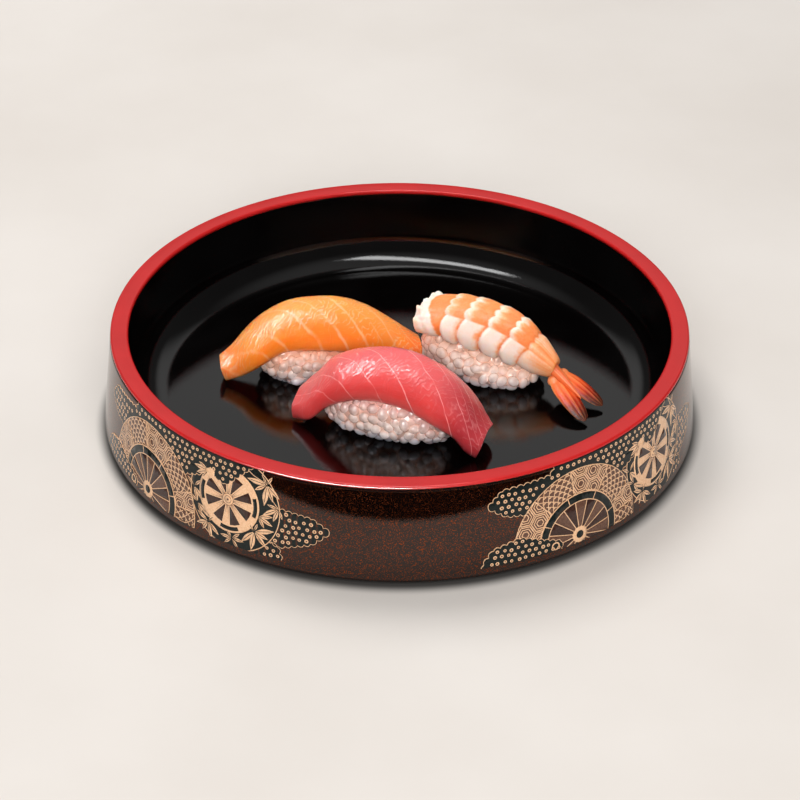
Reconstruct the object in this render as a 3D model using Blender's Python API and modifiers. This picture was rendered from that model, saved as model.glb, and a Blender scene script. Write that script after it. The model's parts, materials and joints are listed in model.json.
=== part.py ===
# Sushi tub with nigiri: a round lacquered tub that holds one salmon, one tuna and one prawn nigiri.
# Blender 4.5, metres, +Z up. The origin is at the middle of the tub's foot, on the table.
import math

import bmesh
import bpy
from mathutils import Matrix, Vector, noise
from mathutils.bvhtree import BVHTree

mm = 0.001
cm = 0.01
gap = 0.3 * mm  # clearance between pieces that touch

# Tub
tubHeight = 45.3 * mm
rimOuter = 120.0 * mm
rimInner = 112.5 * mm
rimRound = 1.0 * mm
wallBelly = 122.2 * mm  # outer radius at half height
wallFoot = 123.9 * mm  # outer radius just above the table
footOuter = 119.0 * mm
footInner = 113.0 * mm
footHeight = 1.5 * mm
baseRound = 3.0 * mm
floorTop = 11.5 * mm
floorUnder = 7.5 * mm
floorRadius = 97.2 * mm
innerLow = 111.2 * mm  # inner radius where the wall leaves the rounded corner
tubSteps = 72

# Nigiri: place on the tub's floor and heading, anticlockwise from +X
salmonPlace = (-3.35 * cm, 1.75 * cm, math.radians(8.0))
tunaPlace = (-0.30 * cm, -2.65 * cm, math.radians(-19.0))
prawnPlace = (3.65 * cm, 1.84 * cm, math.radians(-29.0))

# Rice heaps: half length, half width, height, and how far the heap lies along and across its topping
salmonRice = (2.70 * cm, 1.55 * cm, 2.7 * cm, 0.05 * cm, -0.05 * cm)
tunaRice = (2.78 * cm, 1.52 * cm, 2.9 * cm, 0.08 * cm, -0.04 * cm)
prawnRice = (2.66 * cm, 1.62 * cm, 2.5 * cm, -0.04 * cm, -0.14 * cm)
riceMiddle = 0.4  # height of the heap's middle, as a part of its full height
riceBulge = 0.9 * mm  # how far the packed grains push the sides out
riceGrain = 5.0 * mm  # spacing of those bulges
riceSides = 30
riceRings = 14
ricePlanPower = 2.6  # 2 is an oval in plan, higher is squarer
riceTopPower = 2.6
riceBasePower = 6.0  # the base stands square on the floor
riceClear = 1.4 * mm  # rice stays this far below the topping

# Toppings: stations along the top ridge, in centimetres from the nigiri's place:
# along, across, height above the floor, half width, fall from the ridge to both long edges,
# and tilt, by which the near edge lies lower than the far one
salmonStations = (
    (-4.35, -0.25, 0.85, 0.75, 0.15, 0.15),
    (-3.75, -0.20, 1.25, 1.00, 0.35, 0.15),
    (-2.90, -0.10, 2.20, 1.45, 0.75, 0.10),
    (-1.80, 0.00, 2.98, 1.65, 1.05, 0.00),
    (-0.50, 0.00, 3.32, 1.75, 1.38, 0.00),
    (0.90, 0.00, 3.25, 1.75, 1.48, 0.00),
    (2.20, 0.00, 2.65, 1.60, 1.20, 0.00),
    (3.40, 0.05, 1.70, 1.30, 0.75, 0.00),
    (4.35, 0.10, 0.95, 0.95, 0.30, 0.00),
)
tunaStations = (
    (-4.15, -0.35, 0.82, 0.85, 0.12, 0.18),
    (-3.55, -0.25, 1.40, 1.25, 0.48, 0.38),
    (-2.70, -0.05, 2.45, 1.50, 0.85, 0.30),
    (-1.60, 0.00, 3.15, 1.68, 1.18, 0.08),
    (-0.30, 0.00, 3.52, 1.75, 1.38, 0.00),
    (1.10, 0.00, 3.42, 1.75, 1.42, 0.00),
    (2.30, 0.00, 2.90, 1.75, 1.38, 0.00),
    (3.25, -0.10, 2.05, 1.55, 0.95, 0.00),
    (3.90, -0.30, 1.25, 1.35, 0.60, 0.05),
    (4.30, -0.45, 0.85, 1.10, 0.35, 0.10),
)
prawnStations = (
    (-2.95, -0.40, 2.50, 1.20, 0.45, 0.05),
    (-2.00, -0.10, 2.88, 1.55, 0.95, 0.00),
    (-0.70, 0.00, 3.14, 1.62, 1.38, 0.02),
    (0.80, 0.00, 3.06, 1.55, 1.44, 0.03),
    (2.00, -0.05, 2.66, 1.28, 1.36, 0.04),
    (3.00, -0.18, 1.98, 0.95, 0.95, 0.02),
    (3.60, -0.36, 1.50, 0.68, 0.60, 0.00),
)
sliceThickness = 5.5 * mm
prawnThickness = 5.0 * mm
stationsAcross = 5
stationsAlong = 12
edgeFall = 2.2  # power of the fall: higher keeps the top flat and turns the edges down late
prawnSegments = 6
segmentRelief = 0.5 * mm

# Prawn's tail, from the end of its last segment
tailRoot = Vector((3.55 * cm, -0.30 * cm, 1.05 * cm))
tailTips = (Vector((5.66 * cm, -1.88 * cm, 0.18 * cm)), Vector((5.78 * cm, -0.50 * cm, 0.20 * cm)))
tailLobe = (0.38 * cm, 0.16 * cm)  # half width and half thickness
spikeTip = Vector((4.75 * cm, -0.75 * cm, 1.05 * cm))
spikeSize = (0.28 * cm, 0.24 * cm)


def makeMaterial(name, colour, roughness):
    material = bpy.data.materials.new(name)
    material.use_nodes = True
    shader = material.node_tree.nodes["Principled BSDF"]
    shader.inputs["Base Color"].default_value = (*colour, 1.0)
    shader.inputs["Roughness"].default_value = roughness
    shader.inputs["Metallic"].default_value = 0.0
    material.diffuse_color = (*colour, 1.0)
    return material


def makeObject(name, mesh, collection, material=None):
    piece = bpy.data.objects.new(name, mesh)
    collection.objects.link(piece)
    if material:
        mesh.materials.append(material)
    return piece


def meshFrom(name, bm):
    bmesh.ops.recalc_face_normals(bm, faces=bm.faces)
    mesh = bpy.data.meshes.new(name)
    bm.to_mesh(mesh)
    bm.free()
    mesh.shade_smooth()
    return mesh


def arc(centre, radius, start, stop, count):
    angles = [math.radians(start + (stop - start) * i / (count - 1)) for i in range(count)]
    return [(centre[0] + radius * math.cos(a), centre[1] + radius * math.sin(a)) for a in angles]


def tubProfile():
    """From the middle of the floor out, up the inner wall, over the rim, down the outside and under the foot."""
    corner = innerLow - floorRadius
    points = [(0.0, floorTop)]
    points += arc((floorRadius, floorTop + corner), corner, -90, 0, 6)
    points += arc((rimInner + rimRound, tubHeight - rimRound), rimRound, 180, 90, 3)
    points += arc((rimOuter - rimRound, tubHeight - rimRound), rimRound, 90, 0, 3)
    points.append((wallBelly - 0.8 * mm, tubHeight * 0.78))
    points.append((wallBelly, tubHeight * 0.5))
    points.append((wallFoot, footHeight + baseRound))
    points += arc((wallFoot - baseRound, footHeight + baseRound), baseRound, -30, -90, 3)
    points += [(footOuter, footHeight), (footOuter, 0.0), (footInner, 0.0)]
    points += [(footInner - 1.5 * mm, floorUnder), (0.0, floorUnder)]
    return points


def makeTub(collection, material):
    points = tubProfile()
    mesh = bpy.data.meshes.new("tub")
    edges = [(i, i + 1) for i in range(len(points) - 1)]
    mesh.from_pydata([(radius, 0.0, height) for radius, height in points], edges, [])
    tub = makeObject("tub", mesh, collection, material)
    screw = tub.modifiers.new("Screw", "SCREW")
    screw.steps = tubSteps
    screw.render_steps = tubSteps
    screw.use_merge_vertices = True
    screw.merge_threshold = 0.00001
    screw.use_smooth_shade = True
    return tub


def blend(stations, t):
    """The station at t of the way along, 0 to 1, on a smooth curve through all of them."""
    place = t * (len(stations) - 1)
    i = min(int(place), len(stations) - 2)
    s = place - i
    before = stations[max(i - 1, 0)]
    after = stations[min(i + 2, len(stations) - 1)]
    values = []
    for a, b, c, d in zip(before, stations[i], stations[i + 1], after):
        slope, nextSlope = (c - a) / 2, (d - b) / 2
        cubic = (2 * s**3 - 3 * s**2 + 1) * b + (s**3 - 2 * s**2 + s) * slope
        values.append(cubic + (3 * s**2 - 2 * s**3) * c + (s**3 - s**2) * nextSlope)
    return values


def drape(stations, t, across):
    """A point of a topping's top face: across runs from -1 at the near edge to 1 at the far edge."""
    along, sideways, height, half, fall, tilt = blend(stations, t)
    return Vector((
        along * cm,
        (sideways + half * across) * cm,
        (height - fall * abs(across) ** edgeFall + tilt * across) * cm,
    ))


def segmentPillow(t, across):
    """A prawn's shell segments swell between grooves that bend back at the middle."""
    phase = (t + 0.02 * abs(across)) * prawnSegments
    return segmentRelief * abs(math.sin(math.pi * phase))


def drapeSurface(stations, cellsAlong, cellsAcross, relief=None):
    bm = bmesh.new()
    bmesh.ops.create_grid(bm, x_segments=cellsAlong, y_segments=cellsAcross, size=1.0)
    for vert in bm.verts:
        t, across = (vert.co.x + 1) / 2, vert.co.y
        vert.co = drape(stations, t, across)
        if relief:
            vert.co.z += relief(t, across)
    return bm


def makeSlice(name, stations, thickness, place, collection, material, relief=None):
    bm = drapeSurface(stations, stationsAlong, stationsAcross, relief)
    piece = makeObject(name, meshFrom(name, bm), collection, material)
    solidify = piece.modifiers.new("Solidify", "SOLIDIFY")
    solidify.thickness = thickness
    solidify.offset = -1.0
    solidify.use_even_offset = True
    surface = piece.modifiers.new("Subdivision", "SUBSURF")
    surface.levels = 1
    surface.render_levels = 1
    setPlace(piece, place)
    return piece


def setPlace(piece, place):
    piece.location = (place[0], place[1], floorTop + gap)
    piece.rotation_euler = (0.0, 0.0, place[2])


def makeRice(name, size, stations, thickness, place, collection, material):
    """A lumpy heap, drawn in towards its middle wherever it would reach the topping's underside."""
    halfLength, halfWidth, height, shiftAlong, shiftAcross = size
    topping = drapeSurface(stations, 4 * stationsAlong, 4 * stationsAcross)
    above = BVHTree.FromBMesh(topping)
    topping.free()
    middle = Vector((shiftAlong, shiftAcross, height * riceMiddle))
    bm = bmesh.new()
    bmesh.ops.create_uvsphere(bm, u_segments=riceSides, v_segments=riceRings, radius=1.0)
    for vert in bm.verts:
        x, y, z = vert.co
        plan = (abs(x) ** ricePlanPower + abs(y) ** ricePlanPower) ** (1 / ricePlanPower)
        power = riceTopPower if z > 0 else riceBasePower
        boxy = (plan**power + abs(z) ** power) ** (-1 / power)
        rise = height - middle.z if z > 0 else middle.z
        spot = middle + Vector((x * halfLength, y * halfWidth, z * rise)) * boxy
        spot += Vector((x, y, 0.0)) * riceBulge * (noise.noise(spot / riceGrain) + 0.5)
        while above.find_nearest(spot)[3] < thickness + riceClear:
            spot = middle.lerp(spot, 0.98)
        vert.co = spot
    rice = makeObject(name, meshFrom(name, bm), collection, material)
    setPlace(rice, place)
    return rice


def makePetal(name, root, tip, halfWidth, halfThickness, collection):
    """A flat leaf from root to tip, widest past its middle, as one closed mesh."""
    bm = bmesh.new()
    bmesh.ops.create_uvsphere(bm, u_segments=10, v_segments=9, radius=1.0)
    bmesh.ops.rotate(bm, verts=bm.verts, cent=(0, 0, 0), matrix=Matrix.Rotation(math.pi / 2, 3, "Y"))
    direction = tip - root
    length = direction.length
    turn = Vector((1, 0, 0)).rotation_difference(direction).to_matrix()
    for vert in bm.verts:
        t = (vert.co.x + 1) / 2
        taper = 0.75 + 0.5 * math.sin(math.pi * t**1.3)
        local = Vector((length * t, vert.co.y * halfWidth * taper, vert.co.z * halfThickness * taper))
        vert.co = root + turn @ local
    return makeObject(name, meshFrom(name, bm), collection)


def makePrawn(place, collection, cutters, material):
    prawn = makeSlice("prawn", prawnStations, prawnThickness, place, collection, material, segmentPillow)
    lastSegment = makePetal(
        "prawn_last_segment", tailRoot - Vector((0.8 * cm, -0.10 * cm, -0.4 * cm)),
        tailRoot + Vector((0.3 * cm, -0.2 * cm, -0.15 * cm)), 0.42 * cm, 0.50 * cm, cutters,
    )
    joined = [lastSegment, makePetal("prawn_tail_spike", tailRoot, spikeTip, *spikeSize, cutters)]
    for side, tip in zip((-1, 1), tailTips):
        root = tailRoot + Vector((-0.1 * cm, side * 0.25 * cm, -0.15 * cm))
        joined.append(makePetal(f"prawn_tail_lobe_{side}", root, tip, *tailLobe, cutters))
    for other in joined:
        setPlace(other, place)
        other.hide_render = True
        other.display_type = "WIRE"
        union = prawn.modifiers.new(other.name, "BOOLEAN")
        union.operation = "UNION"
        union.solver = "EXACT"
        union.object = other
    return prawn


def main():
    for old in list(bpy.data.objects):
        bpy.data.objects.remove(old, do_unlink=True)
    collection = bpy.data.collections.new("sushi_tub_with_nigiri")
    cutters = bpy.data.collections.new("prawn_tail_shapes")
    bpy.context.scene.collection.children.link(collection)
    bpy.context.scene.collection.children.link(cutters)

    lacquer = makeMaterial("black_lacquer", (0.012, 0.009, 0.009), 0.12)
    rice = makeMaterial("rice", (0.80, 0.72, 0.68), 0.35)
    salmon = makeMaterial("salmon", (0.90, 0.28, 0.06), 0.30)
    tuna = makeMaterial("tuna", (0.62, 0.06, 0.07), 0.30)
    prawn = makeMaterial("prawn", (0.88, 0.42, 0.22), 0.35)

    makeTub(collection, lacquer)
    makeRice("salmon_rice", salmonRice, salmonStations, sliceThickness, salmonPlace, collection, rice)
    makeSlice("salmon_slice", salmonStations, sliceThickness, salmonPlace, collection, salmon)
    makeRice("tuna_rice", tunaRice, tunaStations, sliceThickness, tunaPlace, collection, rice)
    makeSlice("tuna_slice", tunaStations, sliceThickness, tunaPlace, collection, tuna)
    makeRice("prawn_rice", prawnRice, prawnStations, prawnThickness, prawnPlace, collection, rice)
    makePrawn(prawnPlace, collection, cutters, prawn)


main()
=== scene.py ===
# Sushi tub with nigiri: the looks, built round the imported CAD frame.
import json
import math
import random

import bmesh
import bpy
from mathutils import Matrix, Vector, noise
from mathutils.bvhtree import BVHTree
from mathutils.geometry import tessellate_polygon

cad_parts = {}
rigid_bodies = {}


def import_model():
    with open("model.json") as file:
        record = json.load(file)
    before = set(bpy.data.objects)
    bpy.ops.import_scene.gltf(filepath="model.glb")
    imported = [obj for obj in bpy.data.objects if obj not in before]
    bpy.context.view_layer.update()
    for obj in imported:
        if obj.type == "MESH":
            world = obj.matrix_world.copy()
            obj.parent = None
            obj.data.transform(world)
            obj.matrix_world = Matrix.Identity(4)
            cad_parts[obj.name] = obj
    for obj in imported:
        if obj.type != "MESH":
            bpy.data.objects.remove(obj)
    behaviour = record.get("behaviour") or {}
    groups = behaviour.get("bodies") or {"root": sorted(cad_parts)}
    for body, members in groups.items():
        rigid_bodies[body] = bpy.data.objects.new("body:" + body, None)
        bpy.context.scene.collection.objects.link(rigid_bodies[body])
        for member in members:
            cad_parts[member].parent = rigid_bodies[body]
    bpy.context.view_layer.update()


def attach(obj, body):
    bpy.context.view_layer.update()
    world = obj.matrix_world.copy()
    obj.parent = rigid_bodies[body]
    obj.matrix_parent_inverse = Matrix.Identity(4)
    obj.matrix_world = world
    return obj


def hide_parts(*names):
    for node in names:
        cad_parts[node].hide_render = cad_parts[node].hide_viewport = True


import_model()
mm = 0.001
cm = 0.01
draw = random.Random(21)


def smooth(low, high, value):
    t = min(max((value - low) / (high - low), 0.0), 1.0)
    return t * t * (3 - 2 * t)


def newObject(name, mesh):
    piece = bpy.data.objects.new(name, mesh)
    bpy.context.scene.collection.objects.link(piece)
    return piece


def meshFrom(name, bm, soften=True, recalc=True):
    if recalc:
        bmesh.ops.recalc_face_normals(bm, faces=bm.faces)
    mesh = bpy.data.meshes.new(name)
    bm.to_mesh(mesh)
    bm.free()
    if soften:
        mesh.shade_smooth()
    return mesh


def applied(piece, name):
    # the modifiers' result as a plain mesh of its own
    graph = bpy.context.evaluated_depsgraph_get()
    mesh = bpy.data.meshes.new_from_object(piece.evaluated_get(graph))
    mesh.name = name
    bpy.data.objects.remove(piece, do_unlink=True)
    return newObject(name, mesh)


def nodesOn(piece, tree, values):
    # a geometry nodes modifier with its named inputs set by their identifiers, then made a plain mesh
    modifier = piece.modifiers.new(tree.name, "NODES")
    modifier.node_group = tree
    for item in tree.interface.items_tree:
        if item.in_out == "INPUT" and item.name in values:
            modifier[item.identifier] = values[item.name]
    return applied(piece, piece.name)


class Nodes:
    # a few short calls that write a node tree
    def __init__(self, tree):
        self.tree = tree

    def add(self, kind, props=None, **inputs):
        node = self.tree.nodes.new(kind)
        for key, value in (props or {}).items():
            setattr(node, key, value)
        self.set(node, **inputs)
        return node

    def set(self, node, **inputs):
        for key, value in inputs.items():
            self.put(node, key, value)

    def put(self, node, key, value):
        # i3 is the input with index 3; other keys are input names, with _ for a space
        numbered = key[0] == "i" and key[1:].isdigit()
        spot = node.inputs[int(key[1:]) if numbered else key.replace("_", " ")]
        if isinstance(value, bpy.types.NodeSocket):
            self.tree.links.new(value, spot)
        elif isinstance(value, bpy.types.Node):
            self.tree.links.new(value.outputs[0], spot)
        else:
            spot.default_value = value

    def math(self, operation, a, b=0.0, c=0.0):
        return self.add("ShaderNodeMath", {"operation": operation}, i0=a, i1=b, i2=c).outputs[0]

    def objectPlace(self):
        return self.add("ShaderNodeTexCoord").outputs["Object"]

    def attribute(self, name, output="Fac"):
        return self.add("ShaderNodeAttribute", {"attribute_name": name}).outputs[output]

    def noise(self, where, scale, detail=2.0, roughness=0.5):
        return self.add(
            "ShaderNodeTexNoise", Vector=where, Scale=scale, Detail=detail, Roughness=roughness
        ).outputs[0]

    def randomVector(self, low, high, seed):
        kind = {"data_type": "FLOAT_VECTOR"}
        return self.add("FunctionNodeRandomValue", kind, i0=low, i1=high, Seed=seed).outputs[0]

    def ramp(self, value, stops):
        node = self.add("ShaderNodeValToRGB", i0=value)
        band = node.color_ramp
        while len(band.elements) < len(stops):
            band.elements.new(0.5)
        for element, (place, colour) in zip(band.elements, stops):
            element.position = place
            element.color = colour
        return node.outputs[0]

    def mix(self, amount, a, b):
        return self.add("ShaderNodeMix", {"data_type": "RGBA"}, i0=amount, i6=a, i7=b).outputs[2]

    def mapRange(self, value, low, high, toLow=0.0, toHigh=1.0):
        # eased from toLow to toHigh as the value goes from low to high
        eased = {"interpolation_type": "SMOOTHSTEP"}
        return self.add(
            "ShaderNodeMapRange", eased, i0=value, i1=low, i2=high, i3=toLow, i4=toHigh
        ).outputs[0]


def newTree(name, floats, whole):
    # a geometry nodes tree that takes the geometry, these floats, these whole numbers and a material
    tree = bpy.data.node_groups.new(name, "GeometryNodeTree")
    given = [("Geometry", "Geometry")] + [(label, "Float") for label in floats]
    given += [(label, "Int") for label in whole] + [("Material", "Material")]
    for label, kind in given:
        tree.interface.new_socket(label, in_out="INPUT", socket_type="NodeSocket" + kind)
    tree.interface.new_socket("Geometry", in_out="OUTPUT", socket_type="NodeSocketGeometry")
    n = Nodes(tree)
    return tree, n, n.add("NodeGroupInput").outputs


def finishTree(n, given, laid, soft=False):
    # every tree ends with its instances made real and its material set
    real = n.add("GeometryNodeRealizeInstances", Geometry=laid)
    if soft:
        real = n.add("GeometryNodeSetShadeSmooth", Geometry=real)
    n.add("NodeGroupOutput", i0=n.add("GeometryNodeSetMaterial", Geometry=real, Material=given["Material"]))


def newMaterial(name):
    material = bpy.data.materials.new(name)
    material.use_nodes = True
    tree = material.node_tree
    return material, Nodes(tree), tree.nodes["Principled BSDF"]


def rgb(red, green, blue):
    # screen values, 0 to 255, as linear light
    def linear(value):
        value /= 255
        return value / 12.92 if value <= 0.04045 else ((value + 0.055) / 1.055) ** 2.4
    return (linear(red), linear(green), linear(blue), 1.0)


view = {
    "place": (0.000255, -1.08661, 0.71364),
    "down": 33.040,  # degrees below level
    "roll": 0.3187,
    "lens": 138.20,
    "sensor": 36.0,
}


def addCamera():
    data = bpy.data.cameras.new("camera")
    data.lens = view["lens"]
    data.sensor_width = view["sensor"]
    data.clip_start = 0.05
    camera = newObject("camera", data)
    tilt = Matrix.Rotation(math.radians(90 - view["down"]), 4, "X")
    roll = Matrix.Rotation(math.radians(view["roll"]), 4, "Z")
    camera.matrix_world = Matrix.Translation(view["place"]) @ (tilt @ roll)
    bpy.context.scene.camera = camera


studio = {
    "tableColour": rgb(211, 204, 197),
    "tablePale": rgb(220, 214, 208),
    "tableSize": 12.0,
    # a painted shadow darkens the table's colour from here to here round the foot, and this is how dark it
    # gets
    "paintedContactShadow": (0.1220, 0.1288, 0.10),
    "skyLow": 0.10,
    "skyBack": 0.50,
    "skyTop": 0.35,
    # power, place, width, depth; the Shine lamps show only in gloss, and the first two light without showing
    # there; fishShine reaches only the toppings, riceShine only the rice and rimShine only the rim
    "lamps": {
        "fill": (40.0, (0.06, -1.60, 1.17), 1.6, 1.1),
        "key": (11.5, (-0.30, 0.60, 1.20), 0.7, 0.7),
        "topShine": (9.0, (-0.10, -0.12, 1.45), 1.1, 0.26),
        "fishShine": (13.0, (-0.90, 0.26, 0.98), 0.70, 0.50),
        "riceShine": (20.0, (-0.50, -1.00, 0.66), 0.75, 0.60),
        "rimShine": (55.0, (-0.36, -0.92, 0.022), 0.95, 0.034),
        # rimShine hangs lower than the rim, so that only its outer edge shines
    },
    "cardSteps": 32,
    "cardReach": 46.0,  # degrees to either side of the front
    "cardNear": 0.190,
    "cardCurve": 0.0105,
    "cardFar": 0.9,
}


def addWorld():
    # dark low down and towards the viewer, pale behind and overhead, as under a hung softbox
    world = bpy.data.worlds.new("studio")
    bpy.context.scene.world = world
    world.use_nodes = True
    n = Nodes(world.node_tree)
    where = n.add("ShaderNodeSeparateXYZ", i0=n.add("ShaderNodeTexCoord").outputs["Generated"])
    behind = n.math(
        "MULTIPLY", n.mapRange(where.outputs[2], 0.40, 0.52), n.mapRange(where.outputs[1], 0.55, 0.76)
    )
    glow = n.math("MULTIPLY_ADD", behind, studio["skyBack"], studio["skyLow"])
    glow = n.math("MULTIPLY_ADD", n.mapRange(where.outputs[2], 0.72, 0.98), studio["skyTop"], glow)
    background = world.node_tree.nodes["Background"]
    background.inputs["Color"].default_value = (1.0, 0.99, 0.98, 1.0)
    n.put(background, "Strength", glow)


def addTable():
    bm = bmesh.new()
    bmesh.ops.create_grid(bm, x_segments=2, y_segments=2, size=studio["tableSize"] / 2)
    table = newObject("table", meshFrom("table", bm))
    material, n, shader = newMaterial("table")
    where = n.objectPlace()
    cloud = n.noise(where, 6.0, 6.0)
    paint = n.ramp(cloud, [(0.3, studio["tableColour"]), (0.7, studio["tablePale"])])
    # painted contact shadow: the table's colour is darkened in a ring round the tub's foot
    near, far, dark = studio["paintedContactShadow"]
    away = n.add("ShaderNodeVectorMath", {"operation": "LENGTH"}, i0=where).outputs["Value"]
    shade = n.mapRange(away, near, far, 1.0 - dark, 0.0)
    n.put(shader, "Base Color", n.mix(shade, paint, (0.0, 0.0, 0.0, 1.0)))
    n.set(shader, Roughness=0.6, Specular_IOR_Level=0.0)
    table.data.materials.append(material)


def addCard():
    # a dark card on the table in front, seen only in the wall's gloss, as its sharp dark upper part
    bm = bmesh.new()
    for i in range(studio["cardSteps"] + 1):
        degrees = (2 * i / studio["cardSteps"] - 1) * studio["cardReach"]
        angle = math.radians(degrees)
        near = studio["cardNear"] + studio["cardCurve"] * (degrees / 36) ** 2
        for radius in (near, studio["cardFar"]):
            bm.verts.new((radius * math.sin(angle), -radius * math.cos(angle), 0.0003))
    bm.verts.ensure_lookup_table()
    for i in range(studio["cardSteps"]):
        bm.faces.new([bm.verts[2 * i + k] for k in (0, 1, 3, 2)])
    card = newObject("card", meshFrom("card", bm))
    for ray in ("camera", "diffuse", "shadow", "transmission"):
        setattr(card, "visible_" + ray, False)
    material, n, shader = newMaterial("card")
    where = n.objectPlace()
    felt = n.noise(where, 800.0)
    n.put(shader, "Base Color", n.ramp(felt, [(0.3, rgb(4, 4, 4)), (0.7, rgb(9, 9, 9))]))
    n.set(shader, Roughness=0.9)
    card.data.materials.append(material)


def addLight(name, power, place, width, depth):
    shines = name.endswith("Shine")
    light = bpy.data.lights.new(name, "AREA")
    light.shape = "RECTANGLE"
    light.energy = power
    light.size = width
    light.size_y = depth
    lamp = newObject(name, light)
    lamp.location = place
    lamp.rotation_euler = Vector(place).to_track_quat("Z", "Y").to_euler()
    lamp.visible_glossy = shines
    lamp.visible_diffuse = not shines
    return lamp


def lightOnly(lamp, pieces):
    # this lamp's light reaches these pieces and no others
    group = bpy.data.collections.new(lamp.name)
    for piece in pieces:
        group.objects.link(piece)
    lamp.light_linking.receiver_collection = group


tub = {
    "height": 45.3 * mm,
    "rimOuter": 120.0 * mm,
    "rimInner": 112.5 * mm,
    "rimRound": 1.0 * mm,
    "paintInside": 0.8 * mm,  # how far the red runs down inside and outside the rim
    "paintOutside": 0.2 * mm,
    "floorTop": 11.5 * mm,
    "floorUnder": 7.5 * mm,
    "floorRadius": 97.2 * mm,
    "innerLow": 111.2 * mm,
    "footOuter": 119.0 * mm,
    "footInner": 113.0 * mm,
    "footHeight": 1.5 * mm,
    "footBevel": 0.3 * mm,
    "recessLean": 1.5 * mm,
    "baseRadius": 123.9 * mm,
    "baseRound": 3.0 * mm,
    "wallLean": 0.0937,  # the outer wall draws in by this much for each unit up
    "wallSwell": 0.199,  # and is this much fuller lower down, per metre
    "wallLow": 4.5 * mm,
    "wallMid": 22.65 * mm,
    "steps": 288,
    "coat": 0.12 * mm,  # how far a lacquer coat stands proud of the black body
}


def wallRadius(height):
    # the outer wall's radius at a height: nearly straight, a little fuller below
    rise = height - tub["wallLow"]
    return tub["baseRadius"] - tub["wallLean"] * rise - tub["wallSwell"] * rise * (height - tub["wallMid"])


def arc(x, z, radius, start, stop, count):
    angles = [math.radians(start + (stop - start) * i / (count - 1)) for i in range(count)]
    return [(x + radius * math.cos(a), z + radius * math.sin(a)) for a in angles]


def turned(name, points, closed):
    # a profile turned round the tub's axis
    mesh = bpy.data.meshes.new(name)
    edges = [(i, i + 1) for i in range(len(points) - 1)] + ([(len(points) - 1, 0)] if closed else [])
    mesh.from_pydata([(x, 0.0, z) for x, z in points], edges, [])
    piece = newObject(name, mesh)
    screw = piece.modifiers.new("Screw", "SCREW")
    screw.steps = tub["steps"]
    screw.render_steps = tub["steps"]
    screw.use_merge_vertices = True
    screw.merge_threshold = 0.00001
    screw.use_smooth_shade = True
    piece = applied(piece, name)
    bm = bmesh.new()
    bm.from_mesh(piece.data)
    bmesh.ops.recalc_face_normals(bm, faces=bm.faces)
    bm.to_mesh(piece.data)
    bm.free()
    piece.data.shade_smooth()
    return piece


def rimCurve(grow, insideDrop, outsideDrop):
    # over the rim from the inner wall to the outer wall, standing proud by grow
    top, edge = tub["height"] + grow, tub["rimRound"] + grow
    inner, outer = tub["rimInner"] + tub["rimRound"], tub["rimOuter"] - tub["rimRound"]
    points = [(inner - edge, tub["height"] - tub["rimRound"] - insideDrop)]
    points += arc(inner, top - edge, edge, 180, 90, 8)
    points += arc(outer, top - edge, edge, 90, 0, 8)
    end = tub["height"] - tub["rimRound"] - outsideDrop
    points.append((wallRadius(end) + grow, end))
    return points


def makeTub():
    floor, under = tub["floorTop"], tub["floorUnder"]
    corner = tub["innerLow"] - tub["floorRadius"]
    coat = tub["coat"]
    body = [(0.0, floor), (tub["floorRadius"] * 0.5, floor)]
    body += arc(tub["floorRadius"], floor + corner, corner, -90, 0, 20)
    lean, wall = tub["rimInner"] - tub["innerLow"], tub["height"] - tub["rimRound"] * 2 - floor - corner
    body += [(tub["innerLow"] + lean * t, floor + corner + wall * t) for t in (0.33, 0.66, 1.0)]
    body += rimCurve(-coat, 0.0, 0.0)
    top, low = tub["height"] - 3 * mm, tub["footHeight"] + tub["baseRound"]
    body += [
        (wallRadius(top + (low - top) * t) - coat, top + (low - top) * t) for t in (0.0, 0.25, 0.5, 0.75, 1.0)
    ]
    body += arc(tub["baseRadius"] - tub["baseRound"] - coat, low, tub["baseRound"], -10, -90, 7)
    outer, inner, bevel = tub["footOuter"], tub["footInner"], tub["footBevel"]
    body += [
        (outer, tub["footHeight"]), (outer, bevel), (outer - bevel, 0.0), (inner + bevel, 0.0), (inner, bevel)
    ]
    body += [(inner - tub["recessLean"], under), (inner * 0.5, under), (0.0, under)]
    pieces = [turned("tubBody", body, False)]
    outside = rimCurve(0.0, tub["paintInside"], tub["paintOutside"])
    inside = rimCurve(-coat * 2, tub["paintInside"], tub["paintOutside"])[::-1]
    pieces.append(turned("rimBand", outside + inside, True))
    top = tub["height"] - tub["rimRound"] - tub["paintOutside"]
    wall = [(wallRadius(top + (low - top) * i / 24), top + (low - top) * i / 24) for i in range(25)]
    wall += arc(tub["baseRadius"] - tub["baseRound"], low, tub["baseRound"], -10, -80, 7)
    pieces.append(turned("wallLacquer", wall + [(x - coat * 2, z) for x, z in wall[::-1]], True))
    return pieces


def lacquerSkin(n, shader, where, roughness, ior=1.5, peelDepth=0.000012):
    # a fine orange peel that softens reflections without haze
    peel = n.noise(where, 3200.0, 0.0)
    n.put(shader, "Normal", n.add("ShaderNodeBump", Strength=1.0, Distance=peelDepth, Height=peel))
    n.set(shader, Roughness=roughness, IOR=ior)


def blackLacquer():
    material, n, shader = newMaterial("blackLacquer")
    where = n.objectPlace()
    wave = n.noise(where, 35.0, 2.0)
    n.put(shader, "Base Color", n.ramp(wave, [(0.35, rgb(2, 1, 1)), (0.7, rgb(5, 4, 4))]))
    lacquerSkin(n, shader, where, 0.05)
    return material


def redLacquer():
    material, n, shader = newMaterial("redLacquer")
    where = n.objectPlace()
    wave = n.noise(where, 60.0, 2.0)
    n.put(shader, "Base Color", n.ramp(wave, [(0.35, rgb(184, 26, 26)), (0.7, rgb(193, 32, 32))]))
    n.put(shader, "Roughness", n.mapRange(wave, 0.3, 0.7, 0.20, 0.26))
    n.put(shader, "Normal", n.add("ShaderNodeBump", Strength=0.08, Distance=0.0003, Height=wave))
    return material


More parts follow.
